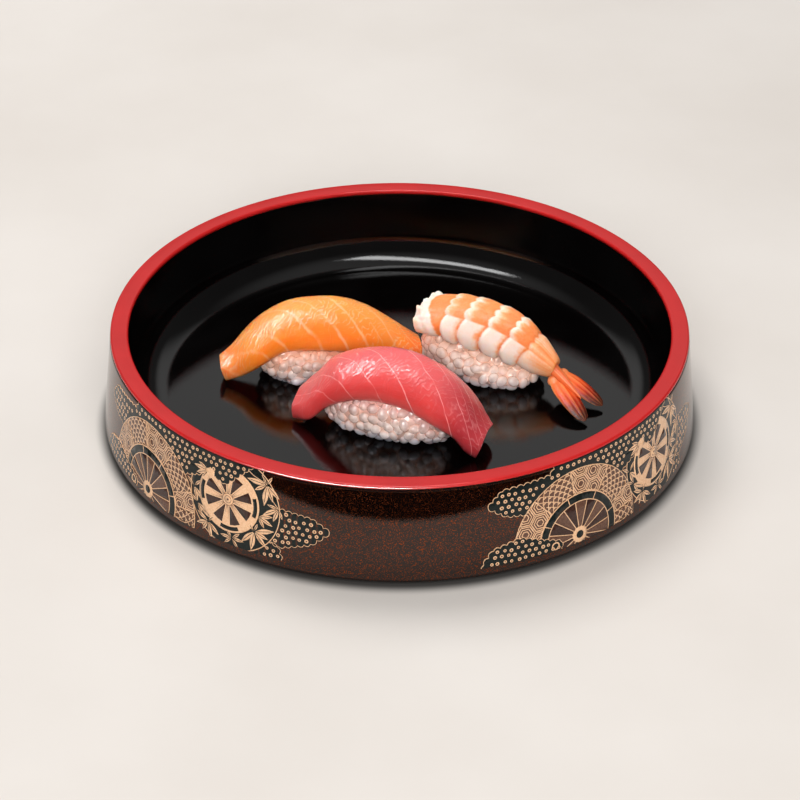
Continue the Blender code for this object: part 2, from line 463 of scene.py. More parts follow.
def speckledLacquer():
    # dark brown lacquer with fine copper flecks in it
    material, n, shader = newMaterial("speckledLacquer")
    where = n.objectPlace()
    grain = n.noise(where, 2300.0, 1.0, 0.5)
    patch = n.noise(where, 380.0, 3.0)
    fleck = n.math("MULTIPLY", n.mapRange(grain, 0.585, 0.625), n.mapRange(patch, 0.30, 0.60, 0.6, 1.0))
    ground = n.ramp(patch, [(0.3, rgb(5, 1, 1)), (0.7, rgb(9, 3, 2))])
    n.put(shader, "Base Color", n.mix(fleck, ground, rgb(148, 72, 36)))
    n.put(shader, "Metallic", fleck)
    n.set(shader, Specular_Tint=(0.84, 0.72, 0.66, 1.0))
    lacquerSkin(n, shader, where, 0.03, 1.62, 0.000005)
    return material


# the wall's print: drawn flat in centimetres, along the wall from the big wheel's hub and up from the table
printed = {
    "low": 0.66,  # the print stops here, above the foot
    "high": 4.40,  # and here, under the rim
    "wrapRadius": 12.2,  # the radius that lengths along the wall belong to
    "hubAt": -54.7,  # degrees round from the front
    "copies": 4,
    "layer": 0.0014,  # one ink over another
    "sunk": 0.003,
    "cutAlong": 0.22,
    "cutUp": 0.5,
    "line": 0.023,
    "bump": 0.30,  # how round the clouds' edges swell
    "bumpWidth": 0.29,
    "dotSpacing": 0.290,
    "dotRadius": 0.056,
    "dotWidth": 0.043,
    "dotCentre": 0.031,
    "dotThickness": 0.006,
    "dotChange": 0.12,  # dots vary in size by this part
}
bigWheel = {
    "hub": (0.0, 1.01),
    "outer": 2.97,
    "ringInner": 1.84,
    "darkRing": (1.52, 1.82),
    "wheelOuter": 1.49,
    "hubRing": (0.17, 0.34),
    "spokes": 16,
    "spokeTurn": 7.0,
    "bars": 8,
    "barTurn": 17.0,
    "cell": 0.43,  # a tortoiseshell hexagon's corner radius
    "cellShift": 0.12,
    "hexagons": ((0.90, 0.052), (0.64, 0.042), (0.36, 0.042)),  # nested: part of that radius, line width
    "margin": 0.03,
    # where a net takes the hexagons' place, in degrees
    "lattices": ((97.0, 134.0), (24.0, 58.0), (-9.0, 7.0)),
    "latticeStep": 6.2,
}
smallWheel = {
    "hub": (4.57, 2.65),
    "rim": (1.12, 1.45),
    "arcs": (-85.0, 0.0, 90.0, 180.0),
    "gaps": 8,
    "gapTurn": 20.0,
    "gapFrom": 0.30,
    "gapHalf": (4.0, 12.5),  # degrees each side, at the hub and at the rim
    "pleats": ((-7.0, 0.72), (0.0, 0.55), (7.0, 0.86)),  # degrees off the spoke's middle, and how far out
    "hubRings": ((0.27, "tan"), (0.25, "gold"), (0.165, "tan"), (0.145, "gold"), (0.05, "tan")),
    "ground": (4.79, 2.62, 2.12),
}
# leaf sprays: where each starts, then each leaf's heading in degrees and length
sprays = (
    (6.32, 3.84, ((176, 0.85), (214, 0.60), (264, 0.92), (292, 0.70), (318, 0.70), (60, 0.40), (120, 0.30))),
    (6.85, 2.90, ((212, 0.75), (250, 0.60), (170, 0.45), (292, 0.40))),
    (5.98, 2.36, ((10, 0.60), (335, 0.65), (300, 0.50), (190, 0.25))),
    (5.82, 1.62, ((15, 0.85), (342, 0.60), (313, 0.75), (262, 0.85), (228, 0.80), (70, 0.35), (130, 0.30))),
    (4.81, 0.98, ((180, 0.50), (222, 0.42), (308, 0.45), (0, 0.50), (40, 0.42), (130, 0.36))),
    (3.64, 1.30, ((155, 0.60), (205, 0.60), (240, 0.50), (285, 0.70), (322, 0.65), (50, 0.35))),
    (3.06, 1.94, ((150, 0.40), (328, 0.85), (300, 0.50))),
    (2.84, 2.58, ((145, 0.45), (48, 0.45), (318, 0.75), (290, 0.60))),
)
stems = (
    ((6.32, 3.84), (6.10, 4.20), (6.20, 4.50)),
    ((6.85, 2.90), (6.60, 3.20), (6.45, 3.70)),
    ((5.20, 4.45), (5.70, 4.10), (6.25, 3.90)),
)
overSpray = (3.55, 3.55, ((178, 0.70), (205, 0.62), (155, 0.50), (235, 0.42)))  # it lies over the upper cloud
# clouds: the few corners where each scalloped edge turns, the inside on the left of the way round
upperCloud = (
    (-4.0, 3.3), (-3.2, 2.8), (-2.4, 2.7), (0.0, 2.2), (2.2, 2.9), (3.7, 3.5), (4.4, 3.3),
    (5.1, 3.95), (5.7, 4.5), (5.6, 4.8), (-0.8, 4.8), (-1.3, 4.05), (-3.4, 3.9),
)
lowerCloud = ((-4.2, 0.4), (-0.9, 0.4), (-0.9, 1.0), (-2.7, 1.65), (-3.8, 1.35), (-4.2, 0.8))
sideCloud = ((6.3, 1.5), (6.9, 1.25), (8.2, 1.65), (8.95, 2.3), (8.2, 2.75), (6.9, 2.9), (6.4, 3.0))
smallCloud = ((5.4, 0.4), (7.1, 0.4), (6.85, 1.2), (6.2, 1.4), (5.6, 1.2))


def around(centre, radius, degrees):
    angle = math.radians(degrees)
    return (centre[0] + radius * math.cos(angle), centre[1] + radius * math.sin(angle))


def cut(bm, place, normal, trim=False):
    parts = bm.verts[:] + bm.edges[:] + bm.faces[:]
    bmesh.ops.bisect_plane(bm, geom=parts, plane_co=place, plane_no=normal, clear_outer=trim)


class Ink:
    # one finish of the print: flat faces whose height says which ink lies over which
    def __init__(self):
        self.bm = bmesh.new()

    def corner(self, x, y, layer):
        return self.bm.verts.new((x, y, layer * printed["layer"]))

    def fill(self, points, layer):
        verts = [self.corner(x, y, layer) for x, y in points]
        for a, b, c in tessellate_polygon([[Vector((x, y, 0.0)) for x, y in points]]):
            turn = (verts[b].co - verts[a].co).cross(verts[c].co - verts[a].co).z
            if abs(turn) > 1e-9:
                order = (a, b, c) if turn > 0 else (a, c, b)
                self.bm.faces.new([verts[k] for k in order])

    def strip(self, points, width, layer, closed=False):
        sides = []
        for i, (x, y) in enumerate(points):
            before = points[i - 1] if i or closed else points[0]
            after = points[(i + 1) % len(points)] if i + 1 < len(points) or closed else points[-1]
            run = Vector((after[0] - before[0], after[1] - before[1])).normalized() * width / 2
            sides.append([self.corner(x + s * -run.y, y + s * run.x, layer) for s in (-1, 1)])
        pairs = list(zip(sides, sides[1:] + sides[:1]))
        for (a, b), (c, d) in pairs if closed else pairs[:-1]:
            self.bm.faces.new((a, c, d, b))

    def ring(self, centre, inner, outer, layer, start=0.0, stop=360.0):
        whole = stop - start >= 360.0
        count = max(2, int((stop - start) / 7.5))
        rows = []
        for i in range(count if whole else count + 1):
            degrees = start + (stop - start) * i / count
            rows.append([self.corner(*around(centre, radius, degrees), layer) for radius in (inner, outer)])
        pairs = list(zip(rows, rows[1:] + rows[:1]))
        for (a, b), (c, d) in pairs if whole else pairs[:-1]:
            self.bm.faces.new((a, b, d, c))

    def disc(self, centre, radius, layer):
        self.fill([around(centre, radius, 7.5 * i) for i in range(48)], layer)

    def finished(self, name):
        # cut into pieces small enough to bend, trimmed at both borders, then made closed thin plates
        bm = self.bm
        for low, normal in ((printed["low"], -1), (printed["high"], 1)):
            cut(bm, (0, low, 0), (0, normal, 0), trim=True)
        for axis, step in ((0, printed["cutAlong"]), (1, printed["cutUp"])):
            lowest, highest = min(v.co[axis] for v in bm.verts), max(v.co[axis] for v in bm.verts)
            normal = (1, 0, 0) if axis == 0 else (0, 1, 0)
            for k in range(math.ceil(lowest / step), math.ceil(highest / step)):
                cut(bm, [c * k * step for c in normal], normal)
        loose = [v for v in bm.verts if not v.link_faces]
        bmesh.ops.delete(bm, geom=loose, context="VERTS")
        tops = bm.faces[:]
        borders = [
            (e.link_loops[0].vert, e.link_loops[0].link_loop_next.vert) for e in bm.edges
            if len(e.link_loops) == 1
        ]
        under = {v: bm.verts.new((v.co.x, v.co.y, -printed["sunk"])) for v in bm.verts[:]}
        for face in tops:
            face.smooth = True
            bm.faces.new([under[v] for v in reversed(face.verts[:])]).smooth = True
        for a, b in borders:
            bm.faces.new((b, a, under[a], under[b])).smooth = False
        bm.transform(Matrix.Scale(cm, 4))
        return newObject(name, meshFrom(name, bm, soften=False, recalc=False))


def scalloped(corners):
    # even round bumps along each stretch from corner to corner
    edge = []
    for start, stop in zip(corners, corners[1:] + corners[:1]):
        run = Vector(stop) - Vector(start)
        out = Vector((run.y, -run.x))
        bumps = max(1, round(run.length / printed["bumpWidth"]))
        for k in range(6 * bumps):
            swell = printed["bump"] / bumps * math.sin(math.pi * (k % 6) / 6) ** 0.8
            edge.append(tuple(Vector(start) + run * k / (6 * bumps) + out * swell))
    return edge


def within(edge, x, y):
    # is the point inside the outline
    inside = False
    for (ax, ay), (bx, by) in zip(edge, edge[1:] + edge[:1]):
        if (ay > y) != (by > y) and x < ax + (y - ay) / (by - ay) * (bx - ax):
            inside = not inside
    return inside


def cloud(inks, dots, points, layer, covers=()):
    # a dark cloud with a gold edge, and a rough lattice of dots where nothing later hides them
    edge = scalloped(points)
    inks["ground"].fill(edge, layer)
    inks["gold"].strip(edge, printed["line"], layer + 1, closed=True)
    step = printed["dotSpacing"]
    xs, ys = [x for x, y in points], [y for x, y in points]
    first = max(min(ys), printed["low"] + 0.11)
    rows = int((max(ys) - first) / (step * 0.87)) + 2
    for j in range(rows):
        for i in range(int((max(xs) - min(xs)) / step) + 2):
            x = min(xs) + (i + 0.5 * (j % 2)) * step + draw.uniform(-0.035, 0.035)
            y = first + j * step * 0.87 + draw.uniform(-0.03, 0.03)
            if not printed["low"] + 0.06 < y < printed["high"]:
                continue
            if any(math.hypot(x - cx, y - cy) < radius for cx, cy, radius in covers):
                continue
            if all(within(edge, *around((x, y), 0.125, 60 * k)) for k in range(6)):
                dots.append((x, y, layer + 1))


def leaf(inks, x, y, heading, length, layer):
    # a pointed leaf with a dark mid line
    x, y = around((x, y), 0.05, heading)
    run = Vector((math.cos(math.radians(heading)), math.sin(math.radians(heading))))
    side, wide = Vector((-run.y, run.x)), 0.12 * length + 0.012
    shape = [(k / 8, wide * math.sin(math.pi * (k / 8) ** 0.95) ** 1.1) for k in range(9)]
    points = [(u, -w) for u, w in shape] + [(u, w) for u, w in shape[-2:0:-1]]
    inks["gold"].fill([tuple(Vector((x, y)) + run * u * length + side * w) for u, w in points], layer)
    inks["ground"].strip(
        [tuple(Vector((x, y)) + run * u * length) for u in (0.10, 0.45, 0.80)], 0.026, layer + 1
    )


def spray(inks, x, y, leaves, layer):
    for heading, length in leaves:
        leaf(inks, x, y, heading, length, layer)


def leafCircle(inks, layer):
    x, y, radius = smallWheel["ground"]
    inks["ground"].disc((x, y), radius, layer)
    inks["gold"].ring((x, y), radius - 0.02, radius + 0.02, layer + 1)
    for stem in stems:
        inks["gold"].strip(stem, 0.03, layer + 1)
    for x, y, leaves in sprays:
        spray(inks, x, y, leaves, layer + 1)


def drawSmallWheel(inks, layer):
    hub, (inner, outer) = smallWheel["hub"], smallWheel["rim"]
    inks["gold"].disc(hub, outer, layer)
    narrow, wide = smallWheel["gapHalf"]
    for k in range(smallWheel["gaps"]):
        middle = smallWheel["gapTurn"] + 360 * k / smallWheel["gaps"]
        near = [around(hub, smallWheel["gapFrom"], middle + turn) for turn in (narrow, -narrow)]
        inks["brown"].fill(near + [around(hub, inner, middle + turn) for turn in (-wide, 0, wide)], layer + 1)
        for turn, reach in smallWheel["pleats"]:
            # pleats that fade out along the spoke
            pleat = middle + 180 / smallWheel["gaps"] + turn
            points = [around(hub, smallWheel["gapFrom"] - 0.04, pleat + side) for side in (2.6, -2.6)]
            inks["tan"].fill(points + [around(hub, inner * reach, pleat)], layer + 1)
    for middle in smallWheel["arcs"]:
        inks["ground"].ring(hub, inner + 0.075, outer - 0.085, layer + 1, middle - 19, middle + 19)
    for radius, ink in smallWheel["hubRings"]:
        layer += 1
        inks[ink].disc(hub, radius, layer + 1)


def kept(points, hub, low, high):
    # points drawn back to between two radii
    found = []
    for x, y in points:
        dx, dy = x - hub[0], y - hub[1]
        reach = math.hypot(dx, dy)
        pull = min(max(reach, low), high) / reach
        found.append((hub[0] + dx * pull, hub[1] + dy * pull))
    return found


def tortoiseshell(inks, layer):
    # nested hexagons over the ring, with patches of net laid over them
    hub, cell, margin = bigWheel["hub"], bigWheel["cell"], bigWheel["margin"]
    low, high = bigWheel["ringInner"] + margin, bigWheel["outer"] - margin
    for column in range(-5, 6):
        for row in range(-5, 6):
            x = hub[0] + column * cell * 1.5 + bigWheel["cellShift"]
            y = hub[1] + (row + 0.5 * (column % 2)) * cell * math.sqrt(3)
            for part, width in bigWheel["hexagons"]:
                corners = [around((x, y), cell * part, 60 * k) for k in range(7)]
                loop = [
                    (ax + (bx - ax) * u, ay + (by - ay) * u)
                    for (ax, ay), (bx, by) in zip(corners, corners[1:]) for u in (0.0, 0.5)
                ]
                inside = [low < math.hypot(px - hub[0], py - hub[1]) < high for px, py in loop]
                if sum(inside) > 3 and y > 0.2:
                    inks["gold"].strip(kept(loop, hub, low, high), width, layer + 1, closed=True)
    for start, stop in bigWheel["lattices"]:
        inks["tan"].ring(hub, low, high, layer + 2, start, stop)
        count = int((stop - start) / bigWheel["latticeStep"])
        for i in range(-4, count + 5):
            first = start + (stop - start) * i / count
            for slant in (-22.0, 22.0):
                spots = [
                    (low + (high - low) * u, min(max(first + slant * (u - 0.5), start), stop))
                    for u in (0.0, 0.2, 0.4, 0.6, 0.8, 1.0)
                ]
                spots = [
                    (r, a) for (r, a), other in zip(spots, spots[1:] + spots[-2:-1])
                    if a not in (start, stop) or other[1] not in (start, stop)
                ]
                if len(spots) > 1:
                    inks["gold"].strip([around(hub, r, a) for r, a in spots], 0.034, layer + 3)
            for k in range(6):
                middle = first + (stop - start) / count * (0.5 * (k % 2))
                if start + 2 < middle < stop - 2:
                    inks["gold"].ring(
                        hub, low + (high - low) * (k + 0.32) / 6, low + (high - low) * (k + 0.62) / 6,
                        layer + 3, middle - 1.3, middle + 1.3
                    )
        for end in (start, stop):
            inks["gold"].strip([around(hub, low, end), around(hub, high, end)], 0.04, layer + 4)


def drawBigWheel(inks, layer):
    hub, outer, ringInner = bigWheel["hub"], bigWheel["outer"], bigWheel["ringInner"]
    inks["tan"].ring(hub, ringInner - 0.05, outer, layer)
    inks["gold"].ring(hub, outer - 0.035, outer, layer + 1)
    tortoiseshell(inks, layer)
    layer += 4
    darkInner, darkOuter = bigWheel["darkRing"]
    inks["ground"].ring(hub, darkInner - 0.05, darkOuter + 0.02, layer)
    for radius in (ringInner, bigWheel["wheelOuter"]):
        inks["gold"].ring(hub, radius - 0.02, radius + 0.02, layer + 2)
    for k in range(bigWheel["bars"]):
        degrees = bigWheel["barTurn"] + 360 * k / bigWheel["bars"]
        inks["gold"].strip(
            [around(hub, darkInner - 0.02, degrees), around(hub, ringInner, degrees)], 0.04, layer + 1
        )
    step, rim = 360 / bigWheel["spokes"], bigWheel["wheelOuter"]
    for k in range(bigWheel["spokes"]):
        start = bigWheel["spokeTurn"] + step * k
        inks["tan" if k % 2 else "brown"].ring(hub, 0.10, rim, layer + 1, start, start + step)
        inks["gold"].fill([
            around(hub, 0.3, start - 3.5), around(hub, rim, start - 0.75), around(hub, rim, start + 0.75),
            around(hub, 0.3, start + 3.5)
        ], layer + 2)
    low, high = bigWheel["hubRing"]
    petals = [around(hub, high + (0.035 if k % 2 else 0.0), 11.25 * k) for k in range(32)]
    inks["gold"].fill(petals, layer + 3)
    inks["ground"].disc(hub, low, layer + 4)


def dotTree(name, ring):
    # a small ring or a small disc on every point, each turned and sized a little differently
    tree, n, given = newTree(name, ("Radius", "Width", "Thickness", "Size Change"), ("Corners", "Seed"))
    if ring:
        circle = n.add(
            "GeometryNodeCurvePrimitiveCircle", Resolution=given["Corners"], Radius=given["Radius"]
        )
        section = n.add(
            "GeometryNodeCurvePrimitiveQuadrilateral", Width=given["Width"], Height=given["Thickness"]
        )
        dot = n.add("GeometryNodeCurveToMesh", Curve=circle, Profile_Curve=section)
    else:
        dot = n.add(
            "GeometryNodeMeshCylinder", Vertices=given["Corners"], Radius=given["Radius"],
            Depth=given["Thickness"]
        )
    low = n.math("SUBTRACT", 1.0, given["Size Change"])
    high = n.math("ADD", 1.0, given["Size Change"])
    size = n.add("FunctionNodeRandomValue", {"data_type": "FLOAT"}, i2=low, i3=high, Seed=given["Seed"])
    spin = n.randomVector((0.0, 0.0, 0.0), (0.0, 0.0, 6.28), given["Seed"])
    scale = n.add("ShaderNodeCombineXYZ", X=size.outputs[1], Y=size.outputs[1], Z=1.0)
    laid = n.add("GeometryNodeInstanceOnPoints", Points=given["Geometry"], Instance=dot,
                 Rotation=n.add("FunctionNodeEulerToRotation", i0=spin), Scale=scale)
    finishTree(n, given, laid)
    return tree


def wrapTree():
    # bends the flat drawing round the wall, then repeats it round the tub
    sizes = ("Wrap Radius", "Start Angle", "Base Radius", "Lean", "Swell", "Low Height", "Mid Height")
    tree, n, given = newTree("wallWrap", sizes, ("Copies",))
    along, up, proud = n.add("ShaderNodeSeparateXYZ", i0=n.add("GeometryNodeInputPosition")).outputs
    angle = n.math("ADD", n.math("DIVIDE", along, given["Wrap Radius"]), given["Start Angle"])
    rise = n.math("SUBTRACT", up, given["Low Height"])
    bow = n.math(
        "MULTIPLY", n.math("MULTIPLY", rise, n.math("SUBTRACT", up, given["Mid Height"])), given["Swell"]
    )
    radius = n.math(
        "SUBTRACT", n.math("SUBTRACT", given["Base Radius"], n.math("MULTIPLY", rise, given["Lean"])), bow
    )
    radius = n.math("ADD", radius, proud)
    x = n.math("MULTIPLY", radius, n.math("SINE", angle))
    y = n.math("MULTIPLY", n.math("MULTIPLY", radius, n.math("COSINE", angle)), -1.0)
    place = n.add("ShaderNodeCombineXYZ", X=x, Y=y, Z=up)
    bent = n.add("GeometryNodeSetPosition", Geometry=given["Geometry"], Position=place)
    turn = n.math("MULTIPLY", n.add("GeometryNodeInputIndex"), n.math("DIVIDE", 2 * math.pi, given["Copies"]))
    copies = n.add("GeometryNodePoints", Count=given["Copies"])
    laid = n.add("GeometryNodeInstanceOnPoints", Points=copies, Instance=bent,
                 Rotation=n.add("FunctionNodeEulerToRotation", i0=n.add("ShaderNodeCombineXYZ", Z=turn)))
    finishTree(n, given, laid)
    return tree


def printInk(name, low, high, roughness, ior=1.62):
    # an ink on the wall's lacquer
    material, n, shader = newMaterial(name)
    where = n.objectPlace()
    grain = n.noise(where, 1400.0, 3.0, 0.6)
    n.put(shader, "Base Color", n.ramp(grain, [(0.35, low), (0.65, high)]))
    lacquerSkin(n, shader, where, roughness, ior, 0.000005)
    return material


def makePrint():
    inks = {name: Ink() for name in ("gold", "ground", "brown", "tan")}
    dots = []
    # the numbers are layers: what is drawn on a higher one lies over the rest
    x, y, radius = smallWheel["ground"]
    for outline in (sideCloud, smallCloud):
        cloud(inks, dots, outline, 0, covers=((x, y, radius + 0.10),))
    leafCircle(inks, 2)
    drawSmallWheel(inks, 4)
    cloud(inks, dots, upperCloud, 12, covers=((*bigWheel["hub"], 3.06), (3.2, 3.5, 0.42)))
    spray(inks, *overSpray, 14)
    inks["gold"].fill([around((3.66, 3.50), 0.26 if k % 2 else 0.21, 30 * k) for k in range(12)], 14)
    drawBigWheel(inks, 14)
    cloud(inks, dots, lowerCloud, 24)
    inks["gold"].ring((-1.15, 0.87), 0.12, 0.18, 26)
    wrap = wrapTree()
    finishes = {
        "gold": printInk("printGold", rgb(222, 170, 127), rgb(237, 194, 154), 0.10),
        "ground": printInk("printGround", rgb(17, 22, 21), rgb(27, 33, 31), 0.12, 1.32),
        "brown": printInk("printBrown", rgb(46, 27, 22), rgb(64, 40, 33), 0.10, 1.42),
        "tan": printInk("printTan", rgb(84, 56, 44), rgb(108, 76, 60), 0.10, 1.42),
    }
    pieces = [(inks[ink].finished("print" + ink.capitalize()), finishes[ink]) for ink in inks]
    kinds = (
        ("dotRings", True, printed["dotRadius"], "gold"), ("dotCentres", False, printed["dotCentre"], "tan")
    )
    for name, ring, radius, ink in kinds:
        spots = bpy.data.meshes.new(name)
        spots.from_pydata([(x * cm, y * cm, layer * printed["layer"] * cm) for x, y, layer in dots], [], [])
        values = {
            "Radius": radius * cm, "Width": printed["dotWidth"] * cm, "Size Change": printed["dotChange"],
            "Thickness": printed["dotThickness"] * cm, "Corners": 10, "Seed": 3, "Material": finishes[ink],
        }
        pieces.append((nodesOn(newObject(name, spots), dotTree(name, ring), values), finishes[ink]))
    values = {
        "Wrap Radius": printed["wrapRadius"] * cm, "Start Angle": math.radians(printed["hubAt"]),
        "Base Radius": tub["baseRadius"], "Lean": tub["wallLean"], "Swell": tub["wallSwell"],
        "Low Height": tub["wallLow"], "Mid Height": tub["wallMid"], "Copies": printed["copies"],
    }
    return [(nodesOn(piece, wrap, dict(values, Material=finish)), finish) for piece, finish in pieces]


def blend(stations, t):
    # the station at t of the way along, on a smooth curve through all of them
    place = t * (len(stations) - 1)
    i = min(int(place), len(stations) - 2)
    s = place - i
    before, after = stations[max(i - 1, 0)], stations[min(i + 2, len(stations) - 1)]
    values = []
    for a, b, c, d in zip(before, stations[i], stations[i + 1], after):
        cubic = (2 * s**3 - 3 * s**2 + 1) * b + (s**3 - 2 * s**2 + s) * (c - a) / 2
        values.append(cubic + (3 * s**2 - 2 * s**3) * c + (s**3 - s**2) * (d - b) / 2)
    return values


def drape(stations, t, across):
    # a point of the top face in centimetres: across is -1 at the near edge, 1 at the far one
    along, sideways, height, half, fall, tilt = blend(stations, t)
    return Vector((along, sideways + half * across, height - fall * abs(across) ** 2.2 + tilt * across))


def placed(place):
    # from a nigiri's own centimetres to its place on the tub's floor
    x, y, heading = place
    turn = Matrix.Rotation(math.radians(heading), 4, "Z")
    return Matrix.Translation((x * cm, y * cm, tub["floorTop"] + 0.3 * mm)) @ turn @ Matrix.Scale(cm, 4)


def eased(count):
    # steps from 0 to 1, closer together towards both ends
    crowding = 0.6
    steps = [i / (count - 1) for i in range(count)]
    return [s - crowding * math.sin(2 * math.pi * s) / (2 * math.pi) for s in steps]


def averaged(rule, t, a, *more):
    # a rule's value over a small patch, so its edges come out smooth on the mesh
    halfAlong, halfAcross = 0.0022, 0.007
    corners = [(t + du, a + dv) for du in (-halfAlong, halfAlong) for dv in (-halfAcross, halfAcross)]
    found = [rule(*corner, *more) for corner in corners]
    if isinstance(found[0], tuple):
        return [sum(parts) / len(found) for parts in zip(*found)]
    return sum(found) / len(found)


def slab(name, topping, relief=None, paint=None, pinch=None):
    # a closed slab under the draped top face, its edges rounded down to the underside
    stations, thick = topping["stations"], topping["thickness"]
    along, across = eased(topping["cellsAlong"]), [2 * s - 1 for s in eased(topping["cellsAcross"])]
    last, wide = len(along) - 1, len(across) - 1
    length = stations[-1][0] - stations[0][0]
    top, depths = {}, {}
    for i, t in enumerate(along):
        for j, a in enumerate(across):
            # corners drawn in, so the outline is round there
            pull = topping["cornerRound"] / length * abs(a) ** 5
            inner = t + pull * ((1 - t) ** 6 - t**6)
            uneven = noise.noise(Vector((a * 2.6, 1.0, 8.0))) + 0.3
            inner += topping.get("ragged", 0.0) * uneven * (1 - t) ** 8
            h = 0.002
            edge = a * (1 - pinch(inner, a)) if pinch else a
            point = drape(stations, inner, edge)
            du = drape(stations, inner + h, a) - drape(stations, inner - h, a)
            dv = drape(stations, inner, a + h) - drape(stations, inner, a - h)
            normal = du.cross(dv).normalized()
            half = blend(stations, inner)[3]
            fromSide, fromEnd = (1 - abs(a)) * half, min(t, 1 - t) * length
            side = math.sqrt(max(0.0, 1 - (1 - min(fromSide / topping["sideRound"], 1.0)) ** 2))
            end = math.sqrt(max(0.0, 1 - (1 - min(fromEnd / topping["endRound"], 1.0)) ** 2))
            low = thick * (1 - side) * 0.96 + thick * side * (1 - end) * 0.5
            under = thick - thick * side * (1 - end) * 0.5
            lift = averaged(relief, inner, a) if relief else 0.0
            ripple = noise.noise(point * 0.9 + Vector((topping["seed"], 0, 0))) * 0.05
            ripple += noise.noise(point * 2.6 + Vector((topping["seed"], 5, 0))) * 0.014
            top[i, j] = (point, normal, low - (lift + ripple) * min(side, end), under)
            depths[i, j] = (inner, a, half)
    bm = bmesh.new()
    flat = bm.loops.layers.uv.new("flat")
    tone = bm.verts.layers.float_color.new("tone") if paint else None
    upper, lower = {}, {}
    for (i, j), (point, normal, low, under) in top.items():
        upper[i, j] = bm.verts.new(point - normal * low)
        shared = i in (0, last) or j in (0, wide)
        lower[i, j] = upper[i, j] if shared else bm.verts.new(point - normal * max(under, low + 0.02))
    for sheet in (upper, lower):
        for i in range(last):
            for j in range(wide):
                corners = [(i, j), (i + 1, j), (i + 1, j + 1), (i, j + 1)]
                if sheet is lower:
                    corners.reverse()
                face = bm.faces.new([sheet[c] for c in corners])
                for loop, c in zip(face.loops, corners):
                    inner, a, half = depths[c]
                    loop[flat].uv = (top[c][0].x, a * half)
    if paint:
        for sheet in (upper, lower):
            for c, vert in sheet.items():
                vert[tone] = (*averaged(paint, depths[c][0], depths[c][1], sheet is upper), 1.0)
    bm.transform(placed(topping["place"]))
    return newObject(name, meshFrom(name, bm))


rice = {
    "grainLength": 2.75,  # half sizes in millimetres
    "grainWidth": 2.2,
    "grainHeight": 2.1,
    "spacing": 3.45,
    "inset": 1.35,  # how far the grains' middles lie inside the heap's outline
    "bulge": 0.9,
    "clear": 1.5,
    "segments": 48,
    "rows": 24,
    "squareness": 2.6,  # 2 would be a plain ball, and a higher one nearer a box
    "baseSquareness": 4.5,
}


def riceTree():
    # grains laid on a heap: long side along the surface, each turned and sized at random
    sizes = ("Grain Length", "Grain Width", "Grain Height", "Spacing", "Unevenness")
    tree, n, given = newTree("riceGrains", sizes, ("Seed",))
    seed = given["Seed"]
    points = n.add("GeometryNodeDistributePointsOnFaces", {"distribute_method": "POISSON"},
                   Mesh=given["Geometry"], Distance_Min=given["Spacing"], Density_Max=900000.0, Seed=seed)
    spin = n.randomVector((-0.25, -0.25, -3.14), (0.25, 0.25, 3.14), seed)
    twist = n.add("FunctionNodeEulerToRotation", i0=spin)
    turned = n.add("FunctionNodeRotateRotation", {"rotation_space": "LOCAL"},
                   Rotation=points.outputs["Rotation"], Rotate_By=twist)
    size = n.randomVector((0.86, 0.9, 0.85), (1.16, 1.12, 1.1), n.math("ADD", seed, 1.0))
    lift = n.add("FunctionNodeRandomValue", {"data_type": "FLOAT"}, Seed=n.math("ADD", seed, 2.0),
                 i2=n.math("MULTIPLY", given["Unevenness"], -1.0), i3=given["Unevenness"]).outputs[1]
    offset = n.add("ShaderNodeVectorMath", {"operation": "SCALE"}, i0=points.outputs["Normal"], Scale=lift)
    moved = n.add("GeometryNodeSetPosition", Geometry=points.outputs["Points"], Offset=offset)
    sphere = n.add("GeometryNodeMeshIcoSphere", Radius=1.0, Subdivisions=2)
    shape = n.add(
        "ShaderNodeCombineXYZ", X=given["Grain Length"], Y=given["Grain Width"], Z=given["Grain Height"]
    )
    outward = n.add("ShaderNodeSeparateXYZ", i0=n.add("GeometryNodeInputPosition")).outputs[2]
    marked = n.add("GeometryNodeStoreNamedAttribute", {"data_type": "FLOAT"}, Geometry=sphere.outputs["Mesh"],
                   Name="outward", Value=outward)
    grain = n.add("GeometryNodeTransform", Geometry=marked, Scale=shape)
    laid = n.add("GeometryNodeInstanceOnPoints", Points=moved, Instance=grain, Rotation=turned, Scale=size)
    deeper = n.add("ShaderNodeVectorMath", {"operation": "SCALE"}, i0=n.add("GeometryNodeInputNormal"),
                   Scale=n.math("MULTIPLY", given["Grain Height"], 0.12))
    core = n.add("GeometryNodeSetPosition", Geometry=given["Geometry"], Offset=deeper)
    both = n.add("GeometryNodeJoinGeometry")
    n.put(both, "i0", core)
    n.put(both, "i0", laid)
    finishTree(n, given, both, soft=True)
    return tree


def skinned(bm, rings):
    # faces from ring to ring and a fan at each end, always in the same order; returns the two fans' middles
    sides = len(rings[0])
    for low, high in zip(rings, rings[1:]):
        for k in range(sides):
            m = (k + 1) % sides
            bm.faces.new((low[k], low[m], high[m], high[k]))
    middles = []
    for ring in (rings[0], rings[-1]):
        middle = bm.verts.new(sum((v.co for v in ring), Vector()) / sides)
        for k in range(sides):
            bm.faces.new((ring[k], ring[(k + 1) % sides], middle))
        middles.append(middle)
    return middles


def ball(bm, segments, rows):
    # not from bmesh.ops, which lists a ball's faces in another order each run, so that the grains would move
    rings = []
    for i in range(1, rows):
        drop = math.pi * i / rows
        turns = [2 * math.pi * k / segments for k in range(segments)]
        across, up = math.sin(drop), math.cos(drop)
        rings.append([bm.verts.new((across * math.cos(turn), across * math.sin(turn), up)) for turn in turns])
    skinned(bm, rings)


